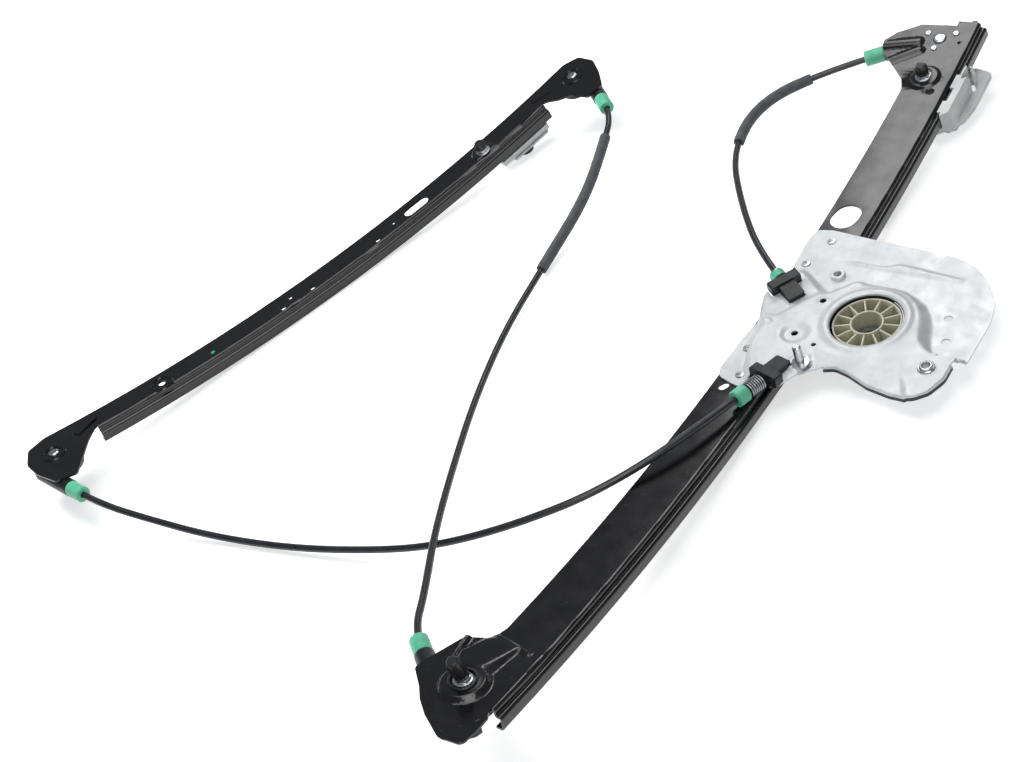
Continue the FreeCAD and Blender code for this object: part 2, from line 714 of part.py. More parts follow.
upper_collar = 1.5
lower_collar = 2.0
spring_turns = 7
spring_wire = 0.7
spring_radius = 5.0
spring_start = 2.0
spring_length = 14.5
cap_length = 10.0
web_clearance = on_main(bent_slab(-60, main_web + main_ledge + 12, -20, 0.05, -120, 120))
upper_clip = upper_outlet.aligned(clip_body(upper_collar)).cut(web_clearance)
lower_clip = lower_outlet.aligned(clip_body(0.5)).cut(web_clearance)
save("upper_outlet", upper_clip)
save("lower_outlet", lower_clip)

# Rest of the plate: rim, dimple, bosses, rib and holes
plate = plate.cut(disc(opening_radius, -20, 20)).fuse(rim_bead)
dimple = turned([(2.6, pan_height - 3.2), (7.0, pan_height - 3.2), (10.5, pan_height - 1.5), (10.5, pan_height),
                 (8.6, pan_height - 1.7), (2.6, pan_height - 1.7)], *dimple_at)
plate = plate.cut(disc(9.5, pan_height - 1.7, pan_height + 2, *dimple_at)).fuse(dimple)
stud_seat = disc(9.0, pan_height - 1, pan_height + 0.8, *plate_stud_at)
plate = plate.fuse(stud_seat.cut(disc(7.0, pan_height, pan_height + 3, *plate_stud_at)))
local_rise = (boss_at[1] - main_low_y) ** 2 / (2 * bend_radius)
boss = turned([(2.6, 0), (5.6, 0), (5.6, 4.4), (4.9, 5.0), (2.6, 5.0)], *boss_at).translated(v(0, 0, local_rise + 1))
plate = plate.fuse(boss)
long_rib = rib_bead(v(-44, 58), v(46, 56.5), 4.4, 3.6, 2.4)
plate = plate.fuse(on_main(at_rail(long_rib.translated(v(-main_edge_x, -main_low_y - 50, plate_sheet)), 50)))
for x, y, radius in pan_holes_at:
    plate = plate.cut(disc(radius, 0, 20, x, y))
for x, y in arm_holes_at:
    plate = plate.cut(prism([(x - 3.4, y - 3.4), (x + 3.4, y - 3.4), (x + 3.4, y + 3.4), (x - 3.4, y + 3.4)], 2.6,
                            -5, 20))
for x, y, radius in [(*boss_at, 2.6), (*dimple_at, 2.6), (*plate_stud_at, stud_radius)]:
    plate = plate.cut(disc(radius, -5, 20, x, y))
clip_room = 0.4
stem_room = block(-stem_length - 9, 3, stem_width + 2 * clip_room, stem_low - 3, 30)
bar_room = block(-bar_depth - clip_room, 12, bar_width + 2 * clip_room, -3.4, 30)
for outlet in (upper_outlet, lower_outlet):
    plate = plate.cut(outlet.aligned(stem_room.fuse(bar_room)))
plate = plate.cut(lower_outlet.aligned(rod(v(0, 0, 0), v(40, 0, 0), spring_radius + 2.2)))


def on_web(shape, x, y):
    """Place a shape, drawn at the origin of the web, square to the bent web at a plan point."""
    return on_main(at_rail(shape.translated(v(x - main_edge_x, 0)), y - main_low_y))


plate_rivet = turned([(0, -sheet - 1.0), (3.0, -sheet - 1.0), (3.4, -sheet), (plate_rivet_radius, -sheet),
                      (plate_rivet_radius, plate_sheet), (3.4, plate_sheet), (3.0, plate_sheet + 0.8),
                      (1.2, plate_sheet + 0.9), (1.2, plate_sheet + 0.2), (0, plate_sheet + 0.2)])
bush = turned([(3.0, -2.0), (4.2, -2.0), (4.2, plate_sheet), (5.6, plate_sheet), (5.6, 3.2), (5.0, 3.8), (3.0, 3.8)])
plate_rivets = Part.makeCompound([on_web(plate_rivet, x, y) for x, y in rivets_at])
plate_bush = on_web(bush, *bush_at)
web_part = on_main(main_rail)
for shape in plate_rivets.Solids:
    plate = plate.cut(shape)
plate = plate.cut(on_web(turned([(0, -2.0), (4.2, -2.0), (4.2, plate_sheet), (5.6, plate_sheet), (5.6, 9.0),
                                 (0, 9.0)]), *bush_at))
for shape in plate_rivets.Solids:
    web_part = web_part.cut(shape)
save("main_rail", web_part.removeSplitter())
save("motor_plate", plate.removeSplitter())
save("plate_rivets", plate_rivets)
save("plate_bush", plate_bush)
save("plate_stud", turned([(0, pan_height - plate_sheet - 1), (stud_radius + 1, pan_height - plate_sheet - 1),
                           (stud_radius + 1, pan_height - plate_sheet), (stud_radius, pan_height - plate_sheet),
                           (stud_radius, pan_height), (6.0, pan_height), (6.0, pan_height + 1.2),
                           (stud_radius, pan_height + 1.6), (stud_radius, pan_height + 15.2),
                           (stud_radius - 0.8, pan_height + 16), (0, pan_height + 16)], *plate_stud_at))

# Cable drum with its ribs, steel insert and wound cable
drum_bottom = drum_top - drum_height
web_top = drum_bottom + 2.5
groove_half = cable_radius + groove_clearance + 0.1
groove_root = pitch_radius - cable_radius - groove_clearance
wound_at = [high_groove, low_groove, (high_groove + low_groove) / 2]
drum_body = turned([(insert_outer, drum_bottom), (drum_radius, drum_bottom), (drum_radius, drum_top),
                    (drum_radius - drum_rim, drum_top), (drum_radius - drum_rim, web_top), (hub_radius, web_top),
                    (hub_radius, drum_top), (drive_bore, drum_top), (drive_bore, drum_bottom + insert_height + 0.5),
                    (insert_outer, drum_bottom + insert_height + 0.5)])
for height in wound_at:
    ring = turned([(groove_root, height - groove_half * 0.7), (drum_radius + 1, height - groove_half * 1.6),
                   (drum_radius + 1, height + groove_half * 1.6), (groove_root, height + groove_half * 0.7)])
    drum_body = drum_body.cut(ring)
for i in range(drum_ribs):
    rib = Part.makeBox(drum_radius - drum_rim - hub_radius + 1.0, rib_width, drum_height - 2.5,
                       v(hub_radius - 0.5, -rib_width / 2, web_top - 0.2))
    rib = rib.common(disc(drum_radius - drum_rim + 0.5, drum_bottom, drum_top - 0.6))
    rib.rotate(v(0, 0), v(0, 0, 1), i * 360 / drum_ribs)
    drum_body = drum_body.fuse(rib)
save("cable_drum", drum_body.removeSplitter())

insert = disc(insert_outer, drum_bottom, drum_bottom + insert_height)
star = []
for i in range(insert_teeth * 2):
    angle = math.pi * i / insert_teeth
    radius = insert_tip if i % 2 else insert_root
    star.append((radius * math.cos(angle), radius * math.sin(angle)))
insert = insert.cut(prism(star, 0, drum_bottom - 1, drum_bottom + insert_height + 1))
save("drive_insert", insert)
wound = [Part.makeTorus(pitch_radius, cable_radius, v(0, 0, height)) for height in wound_at]
save("wound_cable", Part.makeCompound(wound))

# Drum cover under the plate
cover_inner = drum_radius + cover_gap
cover_outer = cover_inner + cover_wall
cover_floor = drum_bottom - axial_gap
cover_bottom = cover_floor - cover_wall
cover_top = pan_height - plate_sheet
cover = turned([(0, cover_bottom), (cover_outer, cover_bottom), (cover_outer, cover_top), (cover_inner + 1, cover_top),
                (cover_inner + 1, cover_top - collar_depth - 0.4), (cover_inner, cover_top - collar_depth - 0.4),
                (cover_inner, cover_floor), (spigot_radius, cover_floor), (spigot_radius, cover_floor + 4),
                (spigot_radius - 0.8, cover_floor + 4.8), (0, cover_floor + 4.8)])
for x, y, radius in pan_holes_at:
    far = math.hypot(x, y)
    lug = disc(5.0, cover_top - 4, cover_top, x, y).fuse(
        Part.makeBox(far - cover_outer + 1, 8, 4, v(cover_outer - 1, -4, cover_top - 4)).rotated(
            v(0, 0), v(0, 0, 1), math.degrees(math.atan2(y, x))))
    cover = cover.fuse(lug).cut(disc(radius, cover_top - 6, cover_top + 1, x, y))
for outlet in (upper_outlet, lower_outlet):
    cover = cover.cut(rod(outlet.tangent, outlet.at(0), cable_radius + 1.2))
save("drum_cover", cover.removeSplitter())

# Cable runs from the outlets to the drum; each stops where it meets the wound turns
feed_stop = 10.0
feeds = []
for outlet in (upper_outlet, lower_outlet):
    feeds.append(rod(outlet.tangent + outlet.out * feed_stop, outlet.at(-conduit_depth), cable_radius))
save("drum_feed_cables", Part.makeCompound(feeds))

# Slack-taking spring and cap on the lower conduit; collar and ring on the upper one


def helix_spring():
    """Compression spring along +X, drawn from circles swept on a helix."""
    pitch = (spring_length - 2 * spring_wire) / spring_turns
    helix = Part.makeHelix(pitch, pitch * spring_turns, spring_radius)
    ring = Part.Wire(Part.makeCircle(spring_wire, v(spring_radius, 0, 0), v(0, 1, 0)))
    body = forward(Part.Wire(helix.Edges).makePipeShell([ring], True, True))
    body.rotate(v(0, 0), v(0, 1, 0), 90)
    body.translate(v(spring_start + spring_wire, 0, 0))
    return body


save("tension_spring", lower_outlet.aligned(helix_spring()))
cap_start = spring_start + spring_length + 0.3
cap = rod(v(cap_start, 0, 0), v(cap_start + cap_length, 0, 0), sleeve_radius)
cap = cap.makeChamfer(0.8, [e for e in cap.Edges if e.Curve.TypeId == "Part::GeomCircle"])
cap = cap.cut(rod(v(cap_start - 1, 0, 0), v(cap_start + cap_length + 1, 0, 0), conduit_radius))
save("spring_cap", lower_outlet.aligned(cap))
collar_start = upper_collar
collar = rod(v(collar_start, 0, 0), v(collar_start + 5.5, 0, 0), sleeve_radius - 0.6)
collar = collar.cut(rod(v(-1, 0, 0), v(20, 0, 0), conduit_radius))
ring = rod(v(collar_start + 5.5, 0, 0), v(collar_start + 6.7, 0, 0), sleeve_radius - 1.2)
save("collar_ring", upper_outlet.aligned(ring.cut(rod(v(-1, 0, 0), v(20, 0, 0), conduit_radius))))
save("upper_collar", upper_outlet.aligned(collar))


# Glass carriers

def main_slider():
    """Nylon slider that grips the outer wall and lip, with claws on the ledge."""
    wall = main_wall
    lip_tip = wall - turned_lip
    gap = moving_gap
    section = section_face([
        (wall - claw_reach, -step_height + gap), (wall - claw_reach, -step_height + claw_height + gap),
        (wall + 5.5, -step_height + claw_height + gap), (wall + 7.0, -step_height),
        (wall + 7.0, -carrier_floor), (12.0, -carrier_floor), (12.0, -5.0), (26.0, -5.0), (lip_tip - gap, -7.5),
        (lip_tip - gap, -rail_depth - gap), (wall + gap, -rail_depth - gap), (wall + gap, -step_height + gap)])
    half = main_carrier_half
    body = bent(section, -half, half)
    body = body.cut(bent(Part.Face(Part.Wire(Part.makeCircle(
        cable_radius + moving_gap, v(main_line_x, 0, -cable_drop), v(0, 1, 0)))), -half - 1, half + 1))
    claws_off = [(-half - 1, -half + 7), (-half + 19, -half + 33), (-half + 47, half + 1)]
    for low, high in claws_off:
        body = body.cut(bent_slab(wall - 10, wall + gap, -step_height, 5, low, high))
    shoulder = prism([(wall - 6, -half - 2), (wall + 20, -half - 2), (wall + 20, -half + 20), (wall + 5.5, -half + 8)],
                     0, -carrier_floor - 1, 5)
    body = body.cut(shoulder)
    flange_plan = [(14, -half + 2, 3), (38.4, -21.5, 2), (42.0, -22.5, 2), (50.3, -9.2, 6), (53.0, 4.7, 8),
                   (53.0, 40.0, 2), (38.5, 43.5, 2), (30.0, half, 2), (14, half - 4, 3)]
    foot = bent_slab(0, 80, -carrier_floor - foot_sheet, -carrier_floor + 1, -60, 60)
    body = body.fuse(foot.common(prism(flange_plan, 2, -carrier_floor - 10, 10))).removeSplitter()
    gap_window = prism([(wall + 1.4, 33.0), (wall + 9.0, 20.0), (wall + 1.4, 14.0)], 1.2, -carrier_floor - 5, 6)
    side_window = prism([(wall - 4, 12), (wall + 3.5, 12), (wall + 3.5, 2), (wall - 4, 2)], 1, -rail_depth - 0.2, 6)
    return body.cut(gap_window).cut(side_window.common(bent_slab(wall, 80, -rail_depth, -step_height, -60, 60)))


def side_slider():
    """Nylon slider that runs inside the side rail and grips its turned lip."""
    wall = side_wall
    lip_tip = wall - turned_lip
    gap = moving_gap
    inner_wall = wall - sheet
    section = section_face([
        (2.5, -carrier_floor), (wall, -carrier_floor), (wall, -rail_depth - gap), (lip_tip - gap, -rail_depth - gap),
        (lip_tip - gap, -rail_depth + sheet + gap), (inner_wall - gap - 0.8, -rail_depth + sheet + gap),
        (inner_wall - gap, -rail_depth + sheet + gap + 0.8), (inner_wall - gap, -9.0), (15.0, -5.0), (2.5, -5.0)])
    half = side_carrier_half
    body = bent(section, -half, half)
    return body.cut(bent(Part.Face(Part.Wire(Part.makeCircle(
        cable_radius + moving_gap, v(side_line_x, 0, -cable_drop), v(0, 1, 0)))), -half - 1, half + 1))


clamp_sheet = 2.0
bolt_radius = 3.0
bolt_head = 5.0
bolt_head_height = 2.5
pad_radius = 6.5
pad_height = 4.5


def clamp_bracket(x, low_x, high_x, low_y, high_y, top):
    """Steel glass clamp plate under a slider, its bolt hole at x."""
    plan = [(low_x, low_y), (high_x, low_y), (high_x, high_y), (low_x, high_y)]
    body = bent_slab(0, 80, top - clamp_sheet, top, -60, 60).common(prism(plan, 3.0, -60, 20))
    return body.cut(disc(bolt_radius, -60, 0, x))


def clamp_pad(x, top):
    """Knurled clamp pad under the bracket."""
    body = disc(pad_radius, top - pad_height, top, x)
    flutes = 16
    for i in range(flutes):
        angle = 2 * math.pi * i / flutes
        body = body.cut(disc(0.7, top - pad_height - 1, top + 1, x + (pad_radius + 0.2) * math.cos(angle),
                             (pad_radius + 0.2) * math.sin(angle)))
    return body.cut(disc(bolt_radius, top - 20, top + 1, x))


def clamp_bolt(x, head_top, end):
    """Bolt through slider, bracket and pad, its round head sunk in the slider."""
    seat = head_top - bolt_head_height
    return turned([(0, end), (bolt_radius - 0.6, end), (bolt_radius, end + 0.6), (bolt_radius, seat),
                   (bolt_head, seat), (bolt_head, head_top), (0, head_top)], x)


def bolt_room(x, head_top):
    """Cutter for the bolt and the well over its head."""
    return disc(bolt_radius, -60, 0, x).fuse(disc(bolt_head, head_top - bolt_head_height, 0, x))


carriers = [("main", on_main, main_carrier_at, main_slider(), 27.0, -13.0, -carrier_floor - foot_sheet, (15, 46, -18, 22)),
            ("side", on_side, side_carrier_at, side_slider(), 19.0, -16.0, -carrier_floor, (4, 27, -16, 24))]
for name, place, length, slider, bolt_x, head_top, seat, edges in carriers:
    end = seat - clamp_sheet - pad_height
    save(name + "_slider", place(at_rail(slider.cut(bolt_room(bolt_x, head_top)), length)))
    save(name + "_glass_clamp", place(at_rail(clamp_bracket(bolt_x, *edges, seat), length)))
    save(name + "_clamp_pad", place(at_rail(clamp_pad(bolt_x, seat - clamp_sheet), length)))
    save(name + "_clamp_bolt", place(at_rail(clamp_bolt(bolt_x, head_top, end), length)))


def nipple(line_x, half):
    """Cable end fitting held on the cable at the top of a slider."""
    ring = Part.Face(Part.Wire(Part.makeCircle(2.4, v(line_x, 0, -cable_drop), v(0, 1, 0))))
    bore = Part.Face(Part.Wire(Part.makeCircle(cable_radius + running_clearance, v(line_x, 0, -cable_drop),
                                               v(0, 1, 0))))
    return bent(ring.cut(bore).Faces[0], half, half + 6)


save("main_nipple", on_main(at_rail(nipple(main_line_x, main_carrier_half), main_carrier_at)))
save("side_nipple", on_side(at_rail(nipple(side_line_x, side_carrier_half), side_carrier_at)))



# Conduits: inner corners of each route; the ends leave the sleeves and outlets straight

def conduit(name, corners):
    """Save one conduit: straight runs with tangent arcs as wide as the runs allow."""
    radii = [0.0]
    for before, here, after in zip(corners, corners[1:], corners[2:]):
        shorter = min(before.distanceToPoint(here), here.distanceToPoint(after))
        turn = (here - before).getAngle(after - here)
        radii.append(round(0.45 * shorter / math.tan(turn / 2), 2))
    radii.append(0.0)
    edges = joined(corners, radii, False)
    shape = tube(edges, conduit_radius)
    length = sum(edge.Length for edge in edges)
    print(name, "length", round(length, 1), "volume ratio", round(shape.Volume / (length * math.pi * conduit_radius ** 2), 4),
          "lowest", round(shape.BoundBox.ZMin, 1), "arc radii", radii[1:-1])
    save(name, shape)
    return edges


def stretch(edges, start, end):
    """Part of a path between two lengths along it."""
    pieces = []
    done = 0.0
    for edge in edges:
        low = max(start - done, 0.0)
        high = min(end - done, edge.Length)
        if high - low > 0.01:
            first = edge.getParameterByLength(low)
            last = edge.getParameterByLength(high)
            pieces.append(edge.Curve.toShape(first, last))
        done += edge.Length
    return pieces


def foam(name, edges, start, end):
    """Foam tube pushed over part of a conduit."""
    path = stretch(edges, start, end)
    save(name, tube(path, foam_radius).cut(tube(stretch(edges, start - 2, end + 2), conduit_radius)))


def along_end(head, place, distance):
    """Point on the conduit's straight start at a head."""
    first, direction = head.end(place)
    return first + direction * distance


upper_route = [upper_outlet.at(-conduit_depth), upper_outlet.at(30), v(-143, 87, 13), v(-183.5, 146.5, 11),
               v(-193, 209, 9.5), along_end(main_high, on_main, 46), along_end(main_high, on_main, 0)]
lower_route = [along_end(side_low, on_side, 0), along_end(side_low, on_side, 30), v(-440, -323, -3), v(-380, -313.5, -12),
               v(-306, -300, -12), v(-232, -281, -6), v(-187, -267, 2), v(-138, -241, 12), v(-92, -200.5, 18),
               lower_outlet.at(62), lower_outlet.at(-conduit_depth)]
cross_route = [along_end(side_high, on_side, 0), along_end(side_high, on_side, 20), v(-303, 137, 9), v(-292, 84, -3),
               v(-289, 12, -11), v(-279, -63, -12), v(-256, -136, -9), v(-224, -204, 0), v(-190, -266, 12),
               v(-155, -318, 24), along_end(main_low, on_main, 20), along_end(main_low, on_main, 0)]
upper_edges = conduit("upper_conduit", upper_route)
conduit("lower_conduit", lower_route)
cross_edges = conduit("cross_conduit", cross_route)
foam("upper_foam", upper_edges, 190.0, 290.0)
foam("cross_foam", cross_edges, 42.0, 190.0)
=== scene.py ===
"""Looks of a twin-rail cable window regulator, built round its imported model."""

import logging
import math
from collections.abc import Callable, Sequence
from dataclasses import dataclass, field
from enum import Enum

import bmesh
import bpy
from mathutils import Matrix, Vector

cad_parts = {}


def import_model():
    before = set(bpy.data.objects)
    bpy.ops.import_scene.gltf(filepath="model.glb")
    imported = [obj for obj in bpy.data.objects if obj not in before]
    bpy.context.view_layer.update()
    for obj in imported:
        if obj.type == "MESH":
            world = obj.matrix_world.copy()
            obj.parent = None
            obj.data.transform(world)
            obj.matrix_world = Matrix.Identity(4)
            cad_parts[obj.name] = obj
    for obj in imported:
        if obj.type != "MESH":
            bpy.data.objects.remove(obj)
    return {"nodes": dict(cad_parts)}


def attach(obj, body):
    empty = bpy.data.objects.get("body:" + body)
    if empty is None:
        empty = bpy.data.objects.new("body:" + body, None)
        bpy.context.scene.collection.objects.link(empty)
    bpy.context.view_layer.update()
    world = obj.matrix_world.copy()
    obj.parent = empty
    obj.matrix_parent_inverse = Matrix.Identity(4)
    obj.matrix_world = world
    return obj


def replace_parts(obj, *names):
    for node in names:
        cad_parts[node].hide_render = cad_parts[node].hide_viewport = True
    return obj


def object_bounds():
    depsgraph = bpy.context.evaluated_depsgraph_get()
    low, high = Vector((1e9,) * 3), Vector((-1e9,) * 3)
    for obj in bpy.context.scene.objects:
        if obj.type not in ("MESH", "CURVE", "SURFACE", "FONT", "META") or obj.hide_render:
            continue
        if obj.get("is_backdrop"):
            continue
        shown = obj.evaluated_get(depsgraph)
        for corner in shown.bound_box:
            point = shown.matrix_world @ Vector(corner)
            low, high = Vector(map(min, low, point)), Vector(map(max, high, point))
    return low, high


LOG = logging.getLogger("window_regulator")
MM = 0.001
FRAME_BODY = "regulator_frame"

# Edges that turn by more than these angles are shaded crisp.
PLAIN_CRISP = math.radians(36)
TURNED_CRISP = math.radians(32)
PRESSED_CRISP = math.radians(62)

Plan = tuple[float, float]
Point = tuple[float, float, float]
Colour = tuple[float, float, float, float]
WHITE: Colour = (1.0, 1.0, 1.0, 1.0)


def linear(code: str) -> Colour:
    """Turn an sRGB hex colour into the linear colour that shaders read.

    Args:
        code: six hex digits with a leading hash.

    Returns:
        Red, green, blue and full alpha, linear.
    """
    parts = [int(code[i : i + 2], 16) / 255 for i in (1, 3, 5)]
    red, green, blue = [c / 12.92 if c <= 0.04045 else ((c + 0.055) / 1.055) ** 2.4 for c in parts]
    return (red, green, blue, 1.0)


def add(tree: bpy.types.NodeTree, kind: str, inputs: dict | None = None,
        **settings: object) -> bpy.types.Node:
    """Add one shader node with its settings, values and links.

    Args:
        tree: the material's or world's node tree.
        kind: the node's type name.
        inputs: socket name or index to a value, or to the socket that feeds it.
        settings: properties of the node itself.

    Returns:
        The new node.
    """
    node = tree.nodes.new(kind)
    for name, value in settings.items():
        setattr(node, name, value)
    for key, value in (inputs or {}).items():
        if isinstance(value, bpy.types.NodeSocket):
            tree.links.new(value, node.inputs[key])
        else:
            node.inputs[key].default_value = value
    return node


@dataclass(frozen=True)
class Finish:
    """A surface: what it is made of, how it was made, and what that shows."""

    name: str
    base: str
    drift: str
    metallic: float = 0.0
    smooth: float = 0.3
    rough: float = 0.45
    patch_mm: float = 18.0
    grain_mm: float = 0.6
    relief_mm: float = 0.02
    coat: float = 0.0
    coat_rough: float = 0.1
    ior: float = 1.5
    subsurface: float = 0.0
    sheen: float = 0.0

    def coordinates(self, tree: bpy.types.NodeTree) -> bpy.types.NodeSocket:
        """Object coordinates, in metres, where pieces lie in the shared frame."""
        return add(tree, "ShaderNodeTexCoord").outputs["Object"]

    def colour(self, tree: bpy.types.NodeTree, place: bpy.types.NodeSocket) -> bpy.types.NodeSocket:
        """Base colour that drifts to its second tone in patches.

        Args:
            tree: the material's node tree.
            place: coordinates in metres.

        Returns:
            The colour socket.
        """
        patches = add(tree, "ShaderNodeTexNoise", {"Vector": place, "Scale": 1 / (self.patch_mm * MM),
                                                   "Detail": 4.0})
        share = add(tree, "ShaderNodeMapRange",
                    {"Value": patches.outputs["Fac"], "From Min": 0.35, "From Max": 0.68})
        mixed = add(tree, "ShaderNodeMixRGB", {"Fac": share.outputs["Result"], "Color1": linear(self.base),
                                               "Color2": linear(self.drift)})
        return mixed.outputs[0]

    def roughness(self, tree: bpy.types.NodeTree, place: bpy.types.NodeSocket) -> bpy.types.NodeSocket:
        """Roughness that wanders between the smooth and the rough value.

        Args:
            tree: the material's node tree.
            place: coordinates in metres.

        Returns:
            The roughness socket.
        """
        cloud = add(tree, "ShaderNodeTexNoise",
                    {"Vector": place, "Scale": 1 / (self.patch_mm * 0.4 * MM), "Detail": 6.0})
        level = add(tree, "ShaderNodeMapRange", {"Value": cloud.outputs["Fac"], "From Min": 0.3,
                                                 "From Max": 0.7,
                                                 "To Min": self.smooth, "To Max": self.rough})
        return level.outputs["Result"]

    def relief(self, tree: bpy.types.NodeTree, place: bpy.types.NodeSocket) -> bpy.types.NodeSocket:
        """Fine grain of the surface, as a bump.

        Args:
            tree: the material's node tree.
            place: coordinates in metres.

        Returns:
            The normal socket.
        """
        grain = add(tree, "ShaderNodeTexNoise", {"Vector": place, "Scale": 1 / (self.grain_mm * MM),
                                                 "Detail": 3.0})
        bump = add(tree, "ShaderNodeBump",
                   {"Height": grain.outputs["Fac"], "Distance": self.relief_mm * MM, "Strength": 1.0})
        return bump.outputs["Normal"]

    def material(self) -> bpy.types.Material:
        """Wire the finish up.

        Returns:
            The finished material.
        """
        made = bpy.data.materials.new(self.name)
        made.use_nodes = True
        tree = made.node_tree
        tree.nodes.clear()
        place = self.coordinates(tree)
        shader = add(tree, "ShaderNodeBsdfPrincipled", {
            "Base Color": self.colour(tree, place), "Roughness": self.roughness(tree, place),
            "Normal": self.relief(tree, place), "Metallic": self.metallic, "IOR": self.ior,
            "Coat Weight": self.coat, "Coat Roughness": self.coat_rough,
            "Subsurface Weight": self.subsurface, "Subsurface Radius": (0.004, 0.0035, 0.0025),
            "Subsurface Scale": 0.6,
            "Sheen Weight": self.sheen})
        add(tree, "ShaderNodeOutputMaterial", {"Surface": shader.outputs["BSDF"]})
        return made


@dataclass(frozen=True)
class DipCoat(Finish):
    """Black cathodic dip coat on pressed steel: deep, glossy, with faint orange peel and dust."""

    dust: str = "#5a5d63"
    dust_apart_mm: float = 4.5

    def colour(self, tree: bpy.types.NodeTree, place: bpy.types.NodeSocket) -> bpy.types.NodeSocket:
        """Black with sparse pale dust specks about 0.7 mm across.

        Args:
            tree: the material's node tree.
            place: coordinates in metres.

        Returns:
            The colour socket.
        """
        ground = Finish.colour(self, tree, place)
        specks = add(tree, "ShaderNodeTexVoronoi", {"Vector": place, "Scale": 1 / (self.dust_apart_mm * MM)})
        near = add(tree, "ShaderNodeMapRange", {"Value": specks.outputs["Distance"], "From Min": 0.045,
                                                "From Max": 0.075, "To Min": 0.55, "To Max": 0.0})
        mixed = add(tree, "ShaderNodeMixRGB",
                    {"Fac": near.outputs["Result"], "Color1": ground, "Color2": linear(self.dust)})
        return mixed.outputs[0]


@dataclass(frozen=True)
class Galvanised(Finish):
    """Hot-dip galvanised sheet: pale, nearly matte metal with a fine spangle."""

    spangle_mm: float = 5.0
    shade: str = "#aeb4b8"

    def colour(self, tree: bpy.types.NodeTree, place: bpy.types.NodeSocket) -> bpy.types.NodeSocket:
        """Crystals of zinc a few millimetres across, each a little lighter or darker.

        Args:
            tree: the material's node tree.
            place: coordinates in metres.

        Returns:
            The colour socket.
        """
        ground = Finish.colour(self, tree, place)
        cells = add(tree, "ShaderNodeTexVoronoi", {"Vector": place, "Scale": 1 / (self.spangle_mm * MM)})
        grey = add(tree, "ShaderNodeRGBToBW", {"Color": cells.outputs["Color"]})
        share = add(tree, "ShaderNodeMapRange", {"Value": grey.outputs["Val"], "From Min": 0.2,
                                                 "From Max": 0.9,
                                                 "To Min": 0.0, "To Max": 0.22})
        mixed = add(tree, "ShaderNodeMixRGB",
                    {"Fac": share.outputs["Result"], "Color1": ground, "Color2": linear(self.shade)})
        return mixed.outputs[0]


@dataclass(frozen=True)
class Foam(Finish):
    """Closed-cell foam tube: matte grey skin with open pores."""

    pore_mm: float = 1.2
    pore_depth_mm: float = 0.3

    def relief(self, tree: bpy.types.NodeTree, place: bpy.types.NodeSocket) -> bpy.types.NodeSocket:
        """Pores, drawn 1.2 mm apart, coarser than real ones, so that they show.

        Args:
            tree: the material's node tree.
            place: coordinates in metres.

        Returns:
            The normal socket.
        """
        pores = add(tree, "ShaderNodeTexVoronoi", {"Vector": place, "Scale": 1 / (self.pore_mm * MM)})
        bump = add(tree, "ShaderNodeBump", {"Height": pores.outputs["Distance"],
                                            "Distance": self.pore_depth_mm * MM, "Strength": 0.6})
        return bump.outputs["Normal"]


# Grains of 0.5 to 0.9 mm below are drawn coarser than the real tenth of a millimetre, so that they show.

# Pressed steel with a black cathodic dip coat: deep black that mirrors the lamps in long soft streaks.
# Its orange peel is 1.6 mm across.
RAIL_BLACK = DipCoat("dip_coated_steel", "#08080a", "#0e0e11", smooth=0.16, rough=0.26, patch_mm=30,
                     grain_mm=1.6,
                     relief_mm=0.006, coat=0.15, coat_rough=0.1)
# Hot-dip galvanised sheet, cold pressed: pale grey and nearly matte, so its walls shade softly.
PLATE_ZINC = Galvanised("galvanised_sheet", "#e0e2e3", "#d0d3d5", metallic=0.3, smooth=0.36, rough=0.52,
                        patch_mm=26, grain_mm=0.5, relief_mm=0.008)
# The same sheet, painted dark dull grey on the last bend of its turned-down edges: painted shade, a narrow
# dark band where the turned edge falls into shade.
TURNED_EDGE_PAINTED_SHADE = Finish("turned_edge_painted_shade", "#2c2e31", "#3c3f43", metallic=0.4, smooth=0.4, rough=0.6,
                      patch_mm=6,
                      grain_mm=0.5, relief_mm=0.02)
# Electroplated zinc on turned steel: small bright glints on nuts, rivets and pins.
BRIGHT_ZINC = Finish("bright_zinc_plate", "#c9cbcd", "#a9acb0", metallic=1.0, smooth=0.2, rough=0.36,
                     patch_mm=4,
                     grain_mm=0.3, relief_mm=0.01)
# Black acetal, injection moulded: satin black whose fine grain dulls the highlights.
ACETAL_BLACK = Finish("moulded_black_acetal", "#151618", "#1d1e21", smooth=0.34, rough=0.5, patch_mm=10,
                      grain_mm=0.5, relief_mm=0.03)
# Green polyethylene, injection moulded: a little light passes through, so its shaded side stays light.
SLEEVE_GREEN = Finish("moulded_green_polyethylene", "#57bd97", "#70cca8", smooth=0.35, rough=0.5, patch_mm=7,
                      grain_mm=0.7, relief_mm=0.04, subsurface=0.12)
# Extruded polypropylene: dark grey with one long highlight.
CONDUIT_JACKET = Finish("extruded_polypropylene", "#1f2124", "#2b2d31", smooth=0.26, rough=0.4, patch_mm=12,
                        grain_mm=0.9, relief_mm=0.02)
# Closed-cell foam tube, slit and slipped over the conduit: matte mid grey that takes no highlight.
FOAM_GREY = Foam("closed_cell_foam", "#4a4c50", "#5a5d61", smooth=0.7, rough=0.9, patch_mm=9, sheen=0.15)
# Galvanised spring wire: mid-grey metal with a short glint on each turn.
CABLE_STEEL = Finish("galvanised_wire", "#a5a8ab", "#85888c", metallic=1.0, smooth=0.25, rough=0.45,
                     patch_mm=2,
                     grain_mm=0.5, relief_mm=0.08)
# Unpigmented nylon, injection moulded: warm greyish beige that glows a little in its thin ribs.
DRUM_NYLON = Finish("natural_nylon", "#d0ceba", "#bfbdaa", smooth=0.32, rough=0.48, patch_mm=9, grain_mm=0.8,
                    relief_mm=0.03, subsurface=0.25)
